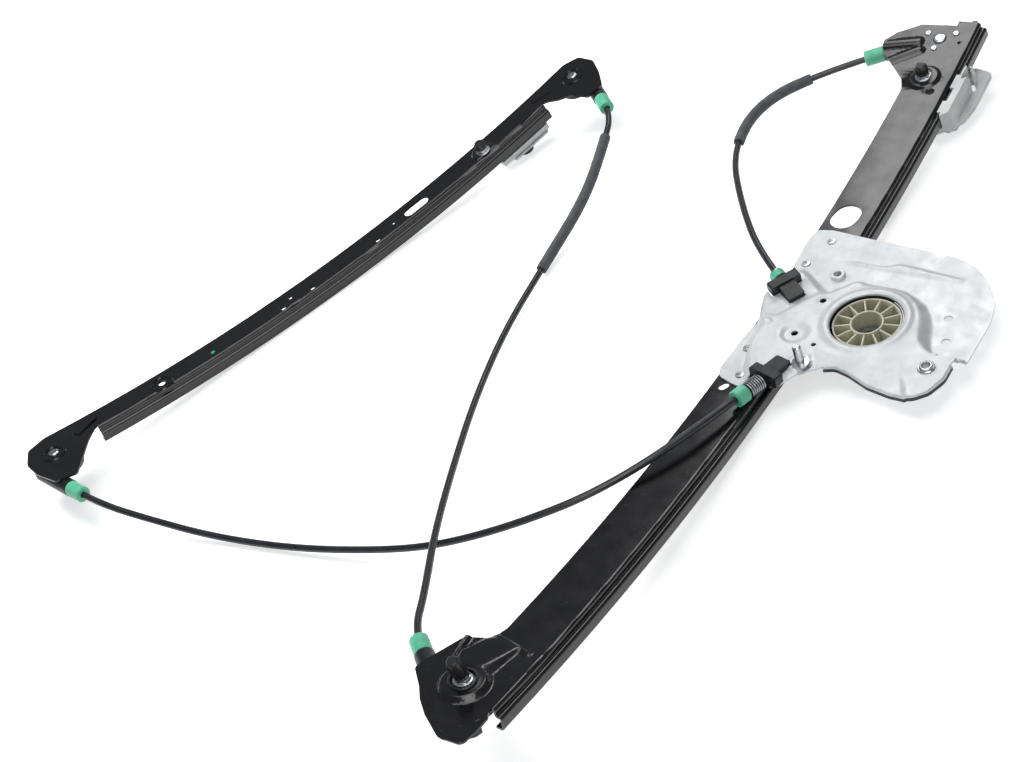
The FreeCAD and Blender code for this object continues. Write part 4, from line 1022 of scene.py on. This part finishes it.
@dataclass
class PressedPlate(Pressing):
    """Motor plate pressed from one zinc-coated sheet; heights are of its upper face.

    Its strip follows the wide rail's bend, and its pan is level. Each bead is an outline, the slope of
    its side and its height; each ring is a centre, radius, half width and height.
    """

    name: str = "pressed_motor_plate"
    strip_height: float = 1.5
    pan_height: float = 6.0
    opening: float = 25.6
    outline: tuple[Point, ...] = (
        (-60.5, -78.9, 4), (-77.3, -73.6, 6), (-80.3, -66.0, 4), (-79.8, -40, 6), (-78.4, -24, 6),
        (-76.0, -14, 6),
        (-80.6, -4.0, 6), (-83.6, 6.6, 3), (-83.4, 11.3, 0.4), (-76.2, 6.6, 0.4), (-73.0, 11.4, 0.4),
        (-60.5, 3.1, 0.6), (-53.1, 14.2, 0.6), (-65.7, 22.5, 0.4), (-62.5, 27.3, 0.4), (-74.0, 34.8, 2),
        (-78.6, 45.0, 6), (-80.3, 72, 4), (-78.0, 82.0, 4), (-66.0, 84.0, 6), (-30.0, 80.8, 20),
        (0.0, 79.0, 20),
        (32.0, 76.4, 20), (50.0, 70.0, 12), (64.0, 57.0, 16), (74.5, 41.0, 16), (78.4, 22.0, 20),
        (78.3, -17.7, 1.5), (71.6, -17.2, 0.8), (70.4, -22.0, 2), (70.6, -36.0, 12), (65.5, -49.0, 10),
        (56.0, -57.4, 10), (41.0, -57.0, 14), (24.0, -53.6, 20), (9.0, -47.6, 20), (-2.0, -45.0, 10),
        (-12.5, -48.0, 10), (-20.5, -55.4, 6), (-25.2, -61.8, 4), (-31.5, -73.6, 3), (-33.9, -72.5, 0.8),
        (-34.3, -66.4, 0.4), (-30.7, -51.8, 0.6), (-43.6, -48.7, 0.6), (-47.2, -63.2, 0.4),
        (-52.8, -61.8, 0.4),
        (-56.7, -78.8, 2))
    pan_top: tuple[Plan, ...] = (
        (-55, -70), (-61.2, -60.4), (-66.7, -46.9), (-70.3, -35.7), (-70.4, -29.6), (-70.6, -24.6),
        (-75.2, -15),
        (-78.8, -4.0), (-81.8, 6.6), (-81.5, 16), (-72, 30), (-68.2, 34.4), (-45.6, 15.8), (-35.9, 19.6),
        (-22.4, 34.6), (-16.8, 32.2), (-6.9, 33.7), (2, 34.3), (11.6, 31.8), (18.5, 29.4), (26.3, 23.2),
        (32, 13.7),
        (36.1, 0.9), (40.8, -9.5), (48.2, -15.3), (53.6, -17.0), (61, -17.6), (90, -17.8), (90, -95),
        (-55, -95))
    pan_foot: tuple[Plan, ...] = (
        (-57.5, -95), (-57.5, -72), (-64.2, -61), (-69.5, -47.5), (-73.2, -36.5), (-73.4, -29),
        (-73.6, -23.8),
        (-78.0, -14), (-81.8, -4), (-86, 6.6), (-86, 30), (-70, 42), (-65.6, 40.6), (-42.3, 25.2),
        (-40.7, 23.5),
        (-26.4, 38.5), (-20, 38.4), (-8, 36.4), (3, 36.9), (13, 36.0), (21.2, 31.9), (30.5, 27.1), (38.3, 19),
        (44.2, 8.7), (47.5, -2.1), (51.7, -13.0), (54.5, -15.2), (61, -16.2), (95, -16.4), (95, -100),
        (-57.5, -100))
    crease: tuple[Plan, ...] = (
        (-22.9, -33.3), (-13, -35.1), (-0.5, -36.6), (11.5, -37.6), (23.3, -38.2), (34.1, -37.2), (43, -35.1),
        (46.2, -32.9), (48.9, -26.5), (53.6, -16.7))
    below_crease: tuple[Plan, ...] = ((90, -17.5), (90, -95), (-22.9, -95))
    crease_slope: float = 0.15
    crease_depth: float = 2.4
    ledge_slope: float = 0.12
    ledge_depth: float = 0.9
    fold_at: Plan = (41.6, -38.4)
    fold_lean: float = 0.52
    fold_width: float = 3.0
    rib: tuple[Plan, ...] = (
        (-45.4, 55.6), (-34, 56.8), (-17.8, 56.2), (-9.6, 58.0), (-4.1, 61.6), (9.8, 61), (25.4, 59),
        (45.5, 57.0),
        (47.2, 55), (45.3, 52.8), (0, 52.2), (-17, 52.6), (-43.9, 54.0))
    rib_form: Plan = (0.62, 1.7)
    bump: tuple[Plan, ...] = (
        (-74.2, -17.3), (-71.5, -13.5), (-66.1, -13.2), (-62.4, -17.4), (-64.2, -23.0), (-68.1, -26.0))
    bump_form: Plan = (0.5, 1.4)
    clip_at: Plan = (-45.6, 15.8)
    clip_facing: Plan = (0.835, -0.55)
    clip_depth: float = 0.9
    clip_width: float = 1.6
    crest_radius: float = 29.0
    crest_reach: float = 33.5
    crest_rise: float = 1.5
    crest_outside: float = 2.2
    crest_inside: Plan = (0.9, 3.4)
    rings: tuple = (((-25.6, -49.4), 7.8, 0.9, 0.9), ((-37.9, 10.4), 3.0, 0.8, 0.8))
    dimple_at: Plan = (-43.8, -23.0)
    dimple_radius: float = 11.0
    dimple_wall: float = 4.5
    dimple_depth: float = 1.9
    holes: tuple[Point, ...] = (
        (0.0, 0.0, 25.6), (-37.9, 10.4, 2.4), (-25.1, -30.8, 1.8), (-44.3, -22.3, 2.6), (56.5, -30.5, 4.2),
        (-41.3, 40.2, 2.6), (-62.2, 72.7, 2.2), (-70.5, 47.1, 2.2), (-71.0, -43.3, 2.2), (-63.1, -68.9, 2.2))
    keyholes: tuple[Plan, ...] = ((50.4, 19.1), (57.3, -1.8))
    opening_lip: Plan = (3.2, -0.2)
    arm_lip: Plan = (4.8, 1.0)
    arm_centre: Plan = (25.0, -20.0)

    def strip(self, y: float) -> float:
        """Height of the strip that follows the bent rail."""
        return self.strip_height + (y - MAIN_RAIL.low_y) ** 2 / (2 * MAIN_RAIL.radius)

    def arm_drop(self, x: float, y: float) -> float:
        """How far the arm past the crease lies below the pan.

        Args:
            x: the plan point's x.
            y: the plan point's y.

        Returns:
            The drop, 0 off the arm.
        """
        if not inside(x, y, self.crease + self.below_crease):
            return 0.0
        away = reach(x, y, self.crease, closed=False)
        past_fold = x - self.fold_at[0] - (self.fold_at[1] - y) * self.fold_lean
        slope = self.crease_slope * (1.0 if past_fold < 0 else max(0.0, 1 - past_fold / self.fold_width))
        return max(min(self.ledge_slope * away, self.ledge_depth), min(slope * away, self.crease_depth))

    def clip_drop(self, x: float, y: float) -> float:
        """How far the corner under the upper clip lies below the pan.

        Args:
            x: the plan point's x.
            y: the plan point's y.

        Returns:
            The drop, 0 off the corner.
        """
        if x >= -40 or y <= -10:
            return 0.0
        ahead = (x - self.clip_at[0]) * self.clip_facing[0] + (y - self.clip_at[1]) * self.clip_facing[1]
        return self.clip_depth * eased(-ahead / self.clip_width)

    def crest(self, far: float) -> float:
        """Height of the rim raised round the drum opening.

        Args:
            far: distance from the drum's axis.

        Returns:
            The height over the pan.
        """
        if far >= self.crest_reach:
            return 0.0
        if far > self.crest_radius:
            return self.crest_rise * math.exp(-(((far - self.crest_radius) / self.crest_outside) ** 2))
        fall, over = self.crest_inside
        return self.crest_rise - fall * ((self.crest_radius - far) / over) ** 2

    def height(self, x: float, y: float) -> float:
        """Height of the pressed sheet's upper face.

        Args:
            x: the plan point's x.
            y: the plan point's y.

        Returns:
            The height at the point.
        """
        base = self.strip(y)
        share = climbed(x, y, self.pan_top, self.pan_foot)
        if share < 1.0:
            share = eased(share)
        level = base + share * (self.pan_height - base)
        if share > 0.9:
            level -= self.arm_drop(x, y) + self.clip_drop(x, y)
        for outline, (slope, rise) in ((self.rib, self.rib_form), (self.bump, self.bump_form)):
            if inside(x, y, outline):
                level += min(rise, slope * reach(x, y, outline))
        level += self.crest(math.hypot(x, y))
        level += sum(ring_bead(x, y, *ring) for ring in self.rings)
        away = math.hypot(x - self.dimple_at[0], y - self.dimple_at[1])
        return level - self.dimple_depth * eased((self.dimple_radius - away) / self.dimple_wall)

    def build(self) -> bpy.types.Object:
        """Press the blank, turn its edges down, and give it its thickness.

        Returns:
            The dressed plate.
        """
        form = self.pressed()
        edge = self.edge
        opening = self.rims(form, lambda x, y: math.hypot(x, y) < self.opening + 0.5)
        south = self.rims(form, lambda x, y: y < -24 and x > -10 and reach(x, y, edge) < 1.0)
        self.turn_down(form, opening, *self.opening_lip, Vector())
        self.turn_down(form, south, *self.arm_lip, Vector((*self.arm_centre, 0.0)))
        # The plate's turned edges get the dark grey of painted shade on their last bend.
        piece = self.thickened(form, Matrix(), PLATE_ZINC, TURNED_EDGE_PAINTED_SHADE)
        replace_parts(piece, "motor_plate")
        return piece


@dataclass
class LowHead(Pressing):
    """Pressed lower head of the wide rail: plateau, beads and turned lip over the flat web."""

    name: str = "lower_head_pressing"
    sheet: float = 0.35
    step: float = 1.3
    skin: float = 0.12
    outline: tuple[Point, ...] = (
        (32.6, 47, 0), (0.8, 49, 4), (-5.8, 38.4, 2), (-20.3, 32.4, 3), (-25.3, 18, 3), (-31.0, 2.1, 4),
        (-17.7, -8.9, 6), (-9.3, -19, 6), (1.4, -25.8, 4), (12.8, -27.5, 12), (26.5, -28.4, 4),
        (31.2, -23.6, 4),
        (32.6, -16, 3))
    holes: tuple[Point, ...] = ((5.8, 0.0, 12.0),)
    plateau_top: tuple[Plan, ...] = (
        (-1.0, 39.5), (14.5, 37.8), (17.0, 37.4), (9.7, 16.2), (4, 11), (-8, 9.5), (-11.5, 21), (-5.5, 35.5))
    plateau_foot: tuple[Plan, ...] = (
        (-2.6, 41.5), (14.7, 39.8), (18.4, 38.6), (16.4, 13.5), (7, -1), (-11.5, 5.5), (-15, 22), (-7.5, 38))
    plateau_rise: float = 1.3
    plateau_climb: float = 2.2
    climb_from: float = 39.0
    climb_over: float = 26.0
    step_line: tuple[Plan, ...] = ((-0.5, 42.2), (14.7, 39.6), (25.5, 37.0))
    step_bead: float = 1.15
    rib_line: tuple[Plan, ...] = ((-17.6, 33), (-14.3, 16.5))
    rib_width: float = 2.6
    rib_taper: float = 0.06
    rib_rise: float = 2.1
    boss_at: Plan = (5.8, 0.0)
    boss_foot: float = 17.0
    boss_crest: float = 13.8
    boss_rise: float = 3.5
    boss_seat: float = 0.25
    lip_form: Plan = (7.6, 2.6)
    lip_centre: Plan = (6.0, 2.0)

    def height(self, x: float, y: float) -> float:
        """Plateau that climbs to the stud's boss, with a bead above it and a rib on its left.

        Args:
            x: the plan point's x.
            y: the plan point's y.

        Returns:
            The height at the point.
        """
        climb = max(0.0, min(1.0, (self.climb_from - y) / self.climb_over))
        level = self.skin
        share = climbed(x, y, self.plateau_top, self.plateau_foot)
        level += share * (self.plateau_rise + self.plateau_climb * climb)
        off_step = reach(x, y, self.step_line, closed=False)
        level += self.step_bead * math.exp(-((off_step / self.step_bead) ** 2))
        off_rib = reach(x, y, self.rib_line, closed=False)
        wide = self.rib_width - self.rib_taper * (self.rib_line[0][1] - y)
        if off_rib < wide:
            level += self.rib_rise * (1 - (off_rib / wide) ** 2)
        away = math.hypot(x - self.boss_at[0], y - self.boss_at[1])
        if away >= self.boss_foot + 1:
            return level
        up = eased((self.boss_foot - away) / (self.boss_foot - self.boss_crest))
        return max(level, self.boss_rise * up - self.boss_seat)

    def build(self, place: Matrix) -> bpy.types.Object:
        """Press the head and turn its lower edge down into a flared lip.

        Args:
            place: the head's place on the rail.

        Returns:
            The dressed head.
        """
        form = self.pressed()
        edge = self.edge
        lip = self.rims(form, lambda x, y: y < -7.5 and x < 32.0 and reach(x, y, edge) < 0.8)
        self.turn_down(form, lip, *self.lip_form, Vector((*self.lip_centre, 0.0)))
        return self.thickened(form, place, RAIL_BLACK, RAIL_BLACK)


@dataclass
class HighHead(Pressing):
    """Left half of the wide rail's upper head, humped over the cable's two ways out.

    Each hump is its start, end, half width and height.
    """

    name: str = "upper_head_pressing"
    sheet: float = 0.35
    step: float = 1.1
    skin: float = 0.12
    outline: tuple[Point, ...] = (
        (3.0, 11.2, 0), (-5.5, 10.2, 5), (-14.4, 3.3, 6), (-23.7, -1.5, 4), (-30.2, -6.1, 3),
        (-34.0, -12.4, 3),
        (-30.8, -20.2, 4), (-19.8, -30.2, 12), (-4.0, -45.0, 0), (3.0, -45.0, 0))
    humps: tuple = (((-7.3, -5.5), (-38.0, -12.1), 5.4, 2.4), ((-3.0, -14.4), (-26.0, -31.0), 5.0, 2.6))

    def height(self, x: float, y: float) -> float:
        """Two half-round humps with a valley between them.

        Args:
            x: the plan point's x.
            y: the plan point's y.

        Returns:
            The height at the point.
        """
        level = self.skin
        for start, end, wide, rise in self.humps:
            near = reach(x, y, (start, end), closed=False)
            if near < wide:
                level = max(level, self.skin + rise * math.sqrt(1 - (near / wide) ** 2))
        return level

    def build(self, place: Matrix) -> bpy.types.Object:
        """Press the humps."""
        return self.thickened(self.pressed(), place, RAIL_BLACK, RAIL_BLACK)


@dataclass
class IronedRail:
    """Copy of the wide rail, its plain beads at the lower head ironed flat under the pressed head."""

    lowest: Point = (-40, -32, 0.05)
    highest: Point = (33.2, 46, 4.0)

    def build(self, nodes: dict[str, bpy.types.Object], head: Matrix) -> bpy.types.Object:
        """Copy the rail and iron the head.

        Args:
            nodes: the model's nodes by name.
            head: place of the lower head's drawing, in millimetres.

        Returns:
            The dressed copy.
        """
        form = bmesh.new()
        form.from_mesh(nodes["main_rail"].data)
        bmesh.ops.remove_doubles(form, verts=form.verts, dist=1e-6)
        back = (Matrix.Scale(MM, 4) @ head).inverted()
        ahead = back.inverted()
        for vert in form.verts:
            local = back @ vert.co
            if all(low < c < high for low, c, high in zip(self.lowest, local, self.highest)):
                local.z = 0.0
                vert.co = ahead @ local
        piece = finished("wide_rail", form, RAIL_BLACK, FRAME_BODY, TURNED_CRISP)
        even = piece.modifiers.new("even_web", "WEIGHTED_NORMAL")
        even.keep_sharp = True
        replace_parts(piece, "main_rail")
        return piece


@dataclass
class SpokedDrum:
    """Moulded cable drum seen through the plate: rim, thirteen ribs and a deep hub; sizes in millimetres."""

    ribs: int = 13
    rim: float = 23.9
    core: float = 22.7
    top: float = 4.3
    floor: float = -6.5
    hub: float = 11.7
    bore: float = 10.35
    foot: float = -14.0
    rib_width: float = 1.25
    first_rib: float = 0.3

    def build(self) -> bpy.types.Object:
        """Turn rim, floor and hub in one piece and set the ribs between them.

        Returns:
            The dressed drum.
        """
        rim, hub, bore, top = self.rim, self.hub, self.bore, self.top
        form = turned([(bore, self.foot), (self.core, self.foot), (self.core, 1.2), (rim, 1.5),
                       (rim, top - 0.3),
                       (rim - 0.3, top), (rim - 1.0, top), (rim - 1.3, top - 0.3), (rim - 1.8, self.floor),
                       (hub + 0.5, self.floor), (hub, top - 0.2), (hub - 0.3, top + 0.1),
                       (bore + 0.3, top + 0.1),
                       (bore, top - 0.2)], 96)
        for i in range(self.ribs):
            verts = block(form, (hub - 0.2, -self.rib_width / 2, self.floor - 0.3),
                          (rim - 1.2, self.rib_width / 2, top - 0.5), 0.25)
            turn = Matrix.Rotation(2 * math.pi * (i + self.first_rib) / self.ribs, 3, "Z")
            bmesh.ops.rotate(form, verts=verts, cent=(0, 0, 0), matrix=turn)
        piece = placed("spoked_drum", form, Matrix(), DRUM_NYLON, "drum")
        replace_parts(piece, "cable_drum")
        return piece


@dataclass
class PlateFittings:
    """Weld nut, bush and retaining ring on the motor plate; sizes in millimetres."""

    nut_at: Plan = (-41.3, 40.2)
    bush_at: Plan = (56.5, -30.5)
    bush_height: float = 5.4
    ring_inner: float = 24.25
    ring_outer: float = 25.1
    ring_low: float = 4.2
    ring_high: float = 5.0
    ring_from: float = -40.0
    ring_turn: float = 105.0

    def retaining_ring(self) -> bmesh.types.BMesh:
        """Bend a square wire round part of the drum opening.

        Returns:
            The ring.
        """
        ring = bmesh.new()
        section = ((self.ring_inner, self.ring_low), (self.ring_outer, self.ring_low),
                   (self.ring_outer, self.ring_high), (self.ring_inner, self.ring_high))
        ring.faces.new([ring.verts.new((r, 0.0, z)) for r, z in section])
        bmesh.ops.rotate(ring, verts=ring.verts, cent=(0, 0, 0),
                         matrix=Matrix.Rotation(math.radians(self.ring_from), 3, "Z"))
        bmesh.ops.spin(ring, geom=list(ring.verts) + list(ring.edges) + list(ring.faces), cent=(0, 0, 0),
                       axis=(0, 0, 1), angle=math.radians(self.ring_turn), steps=60, use_merge=False)
        bmesh.ops.recalc_face_normals(ring, faces=ring.faces)
        return ring

    def build(self) -> None:
        """Make the three fittings."""
        nut = turned([(2.7, 1.0), (5.3, 1.0), (5.3, 4.4), (4.8, 4.9), (3.1, 4.9), (2.7, 4.5)], 40)
        placed("weld_nut", nut, Matrix.Translation((*self.nut_at, 0)), PLATE_ZINC)
        high = self.bush_height
        bush = turned([(3.1, -1.7), (4.15, -1.7), (4.15, high - 0.3), (5.9, high - 0.1), (5.9, high + 0.5),
                       (5.4, high + 0.9), (4.6, high + 0.8), (4.3, high + 1.9), (3.9, high + 2.1),
                       (3.3, high + 2.1), (3.1, high + 1.8)], 48)
        piece = placed("bush_ring", bush, Matrix.Translation((*self.bush_at, 0)), BRIGHT_ZINC)
        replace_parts(piece, "plate_bush")
        placed("retaining_ring", self.retaining_ring(), Matrix(), CABLE_STEEL)


@dataclass
class StudThread:
    """Rolled thread on a bare stud; in metres, with the ridge's half widths as shares of the pitch."""

    name: str
    foot: Point
    crest: float = 3.02 * MM
    root: float = 2.72 * MM
    pitch: float = 1.0 * MM
    turns: int = 12
    turn_steps: int = 20
    root_half: float = 0.42
    crest_half: float = 0.08

    def build(self) -> None:
        """Wind one thread ridge round the stud."""
        form = bmesh.new()
        corners = [(self.root, -self.root_half), (self.crest, -self.crest_half),
                   (self.crest, self.crest_half),
                   (self.root, self.root_half)]
        ridge = [form.verts.new((r, 0.0, z * self.pitch)) for r, z in corners]
        edges = [form.edges.new(pair) for pair in zip(ridge, ridge[1:])]
        bmesh.ops.spin(form, geom=ridge + edges, cent=(0, 0, 0), axis=(0, 0, 1),
                       dvec=(0, 0, self.pitch / self.turn_steps), angle=2 * math.pi * self.turns,
                       steps=self.turns * self.turn_steps, use_merge=False)
        bmesh.ops.translate(form, verts=form.verts, vec=self.foot)
        bmesh.ops.recalc_face_normals(form, faces=form.faces)
        finished(self.name, form, BRIGHT_ZINC, FRAME_BODY)


@dataclass
class HeadRivets:
    """Zinc rivets of the wide rail's upper head, on its web; sizes in millimetres."""

    pin_at: Plan = (9.2, 286.6)
    pin_radius: float = 5.2
    pin_rise: float = 1.5
    rivets_at: tuple[Plan, ...] = ((-2.2, 291.3), (20.3, 293.0), (8.5, 275.9))
    rivet_radius: float = 2.5
    rivet_rise: float = 1.0
    seat: float = 0.6

    def head(self, radius: float, rise: float) -> bmesh.types.BMesh:
        """Turn one low-domed head with a rounded rim.

        Args:
            radius: the head's radius.
            rise: its height.

        Returns:
            The head, its seat at zero height.
        """
        return turned([(0.0, -self.seat), (radius, -self.seat), (radius, rise * 0.35),
                       (radius * 0.94, rise * 0.7),
                       (radius * 0.8, rise * 0.95), (radius * 0.45, rise), (radius * 0.3, rise * 0.9),
                       (0.0, rise * 0.9)], 40)

    def build(self) -> None:
        """Make the pulley pin's broad head and the three small rivets."""
        pin = placed("upper_pin_head", self.head(self.pin_radius, self.pin_rise), MAIN_RAIL.at(*self.pin_at),
                     BRIGHT_ZINC)
        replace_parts(pin, "main_upper_pin")
        rivets = bmesh.new()
        for spot in self.rivets_at:
            one = self.head(self.rivet_radius, self.rivet_rise)
            bmesh.ops.transform(one, matrix=MAIN_RAIL.at(*spot), verts=one.verts)
            part = bpy.data.meshes.new("rivet")
            one.to_mesh(part)
            one.free()
            rivets.from_mesh(part)
            bpy.data.meshes.remove(part)
        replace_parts(placed("upper_head_rivets", rivets, Matrix(), BRIGHT_ZINC), "head_rivets")


@dataclass
class DoorStud:
    """Capped weld stud on a pressed boss, with its zinc flange nut; sizes in millimetres."""

    name: str
    node: str
    place: Matrix
    foot: float
    crest: float
    rise: float
    cap_top: float
    lean: float = 0.0
    lobes: int = 4
    lobe_width: float = 2.6
    cap_radius: float = 3.9
    fold_x: float | None = None
    washer: float = 0.0
    caps_node: str = ""
    bore: float = 3.1
    nut_bore: float = 3.0
    flange: float = 6.3
    shank: float = 2.9

    def tipped(self) -> Matrix:
        """Place of the parts above the nut, tipped with the stud."""
        pivot = Matrix.Translation((0, 0, self.rise + 2.8))
        return self.place @ pivot @ Matrix.Rotation(math.radians(self.lean), 4, "X") @ pivot.inverted()

    def boss(self) -> bmesh.types.BMesh:
        """Turn the raised boss, cut off where the rail's fold begins.

        Returns:
            The boss.
        """
        rise, crest, foot = self.rise, self.crest, self.foot
        form = turned([(self.bore, rise), (7.4, rise), (8.0, rise - 0.25), (crest - 0.9, rise),
                       (crest - 0.2, rise - 0.15), (crest + 0.4, rise - 0.6), (foot - 0.9, 0.45), (foot, 0.1),
                       (foot + 1.0, -0.25), (foot + 1, -1.2), (self.bore, -1.2)], 72)
        if self.fold_x is not None:
            bmesh.ops.bisect_plane(form, geom=list(form.verts) + list(form.edges) + list(form.faces),
                                   plane_co=(self.fold_x, 0, 0), plane_no=(1, 0, 0), clear_outer=True)
            bmesh.ops.holes_fill(form, edges=[e for e in form.edges if e.is_boundary], sides=0)
        return form

    def nut(self) -> bmesh.types.BMesh:
        """Turn the nut's flange and set its bevelled hexagon on it.

        Returns:
            The nut.
        """
        rise = self.rise
        form = turned([(self.nut_bore, rise), (self.flange, rise), (self.flange, rise + 0.7),
                       (self.flange - 0.6, rise + 1.0), (self.nut_bore, rise + 1.0)], 48)
        made = bmesh.ops.create_cone(form, cap_ends=True, cap_tris=False, segments=6, radius1=5.4,
                                     radius2=5.2,
                                     depth=2.2, matrix=Matrix.Translation((0, 0, rise + 1.9)))
        edges = list({e for v in made["verts"] for e in v.link_edges})
        bmesh.ops.bevel(form, geom=edges, offset=0.35, offset_type="OFFSET", affect="EDGES", segments=2,
                        profile=0.5, material=-1)
        return form

    def washer_ring(self) -> bmesh.types.BMesh:
        """Turn the black washer that rings the nut.

        Returns:
            The washer.
        """
        rise, outer = self.rise, self.washer
        return turned([(outer - 1.5, rise), (outer, rise), (outer, rise + 0.9), (outer - 0.5, rise + 1.3),
                       (outer - 1.5, rise + 1.3)], 48)

    def cap(self) -> bmesh.types.BMesh:
        """Turn the cap with its rim, and set its lobes round it.

        Returns:
            The cap.
        """
        low = self.rise + 3.2
        high = self.rise + self.cap_top
        wall, rim = self.cap_radius, self.cap_radius + 0.9
        form = turned([(0.0, high), (wall - 1.0, high), (wall - 0.3, high - 0.5), (wall, high - 1.1),
                       (wall, low + 1.6), (rim, low + 1.1), (rim, low + 0.2), (rim - 0.2, low), (0.0, low)],
                      40)
        for i in range(self.lobes):
            verts = block(form, (wall - 0.7, -self.lobe_width / 2, low + 0.8),
                          (wall + 0.9, self.lobe_width / 2, high - 0.9), 0.3)
            turn = Matrix.Rotation((i + 0.5) * 2 * math.pi / self.lobes, 3, "Z")
            bmesh.ops.rotate(form, verts=verts, cent=(0, 0, 0), matrix=turn)
        return form

    def build(self) -> None:
        """Make boss, nut, washer, cap and shank."""
        placed(self.name + "_boss", self.boss(), self.place, RAIL_BLACK)
        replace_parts(placed(self.name + "_flange_nut", self.nut(), self.place, BRIGHT_ZINC), self.node)
        if self.washer:
            placed(self.name + "_washer", self.washer_ring(), self.place, ACETAL_BLACK)
        cap = placed(self.name + "_cap", self.cap(), self.tipped(), ACETAL_BLACK)
        if self.caps_node:
            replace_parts(cap, self.caps_node)
        high = self.rise + self.cap_top - 2
        low = self.rise + 2
        shank = turned([(0.0, high), (self.shank, high), (self.shank, low), (0.0, low)], 24)
        placed(self.name + "_shank", shank, self.tipped(), BRIGHT_ZINC)


@dataclass
class LowerPulleyPin:
    """Foot of the lower stud, the pin that its pulley turns on; sizes in millimetres."""

    cable_drop: float = 8.0
    pulley_width: float = 6.0
    axial_gap: float = 0.3
    housing_wall: float = 2.0
    radius: float = 3.0
    head: float = 4.2
    head_top: float = 2.9
    head_rise: float = 1.6

    def build(self) -> None:
        """Turn the pin with its head under the housing."""
        floor = -self.cable_drop - self.pulley_width / 2 - self.axial_gap - self.housing_wall
        pin = turned([(0.0, floor - self.head_rise), (self.head_top, floor - self.head_rise),
                      (self.head, floor - self.head_rise / 2), (self.head, floor), (self.radius, floor),
                      (self.radius, 0.0), (0.0, 0.0)], 40)
        placed("lower_pulley_pin", pin, MAIN_RAIL.at(*LOWER_STUD_AT), BRIGHT_ZINC)


def door_studs() -> list[DoorStud]:
    """Set out the three capped studs; the low one leans, and the side one's boss meets the fold.

    Returns:
        The studs.
    """
    return [DoorStud("upper_stud", "main_upper_stud", MAIN_RAIL.at(*UPPER_STUD_AT), 13.4, 11.2, 2.0, 11.5,
                     caps_node="stud_caps"),
            DoorStud("lower_stud", "main_lower_stud", MAIN_RAIL.at(*LOWER_STUD_AT), 17.0, 13.8, 3.5, 19.5,
                     lean=17.0, lobes=8, lobe_width=1.1, washer=9.4),
            DoorStud("side_stud", "side_stud", SIDE_RAIL.at(*SIDE_STUD_AT), 12.4, 10.2, 2.0, 10.0,
                     lobes=8, lobe_width=1.2, cap_radius=4.0, fold_x=3.8)]


def paint_dab() -> None:
    """Dab the small inspection spot on the narrow rail."""
    dab = turned([(0.0, -0.1), (2.0, -0.1), (1.8, 0.12), (1.2, 0.2), (0.0, 0.22)], 24)
    placed("inspection_dab", dab, SIDE_RAIL.at(*PAINT_DAB_AT), PAINT_DAB)


def main() -> None:
    """Build the looks round the fixed model."""
    logging.basicConfig(level=logging.INFO, format="%(name)s %(message)s")
    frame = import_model()
    low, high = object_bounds()
    bpy.context.scene.view_settings.view_transform = "Standard"
    studio = Studio()
    studio.place_camera()
    for conduit in routes():
        conduit.build()
    studio.light()
    studio.lay_floor(low[2])
    Wardrobe.dress(frame["nodes"])
    PressedPlate().build()
    PlateFittings().build()
    SpokedDrum().build()
    low_head = MAIN_RAIL.at(*LOW_HEAD_AT)
    IronedRail().build(frame["nodes"], low_head)
    LowHead().build(low_head)
    HighHead().build(MAIN_RAIL.at(*HIGH_HEAD_AT))
    HeadRivets().build()
    paint_dab()
    for stud in door_studs():
        stud.build()
    LowerPulleyPin().build()
    StudThread("plate_stud_thread", (-0.0256, -0.0494, 0.0085)).build()
    low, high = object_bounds()


if __name__ == "__main__":
    main()
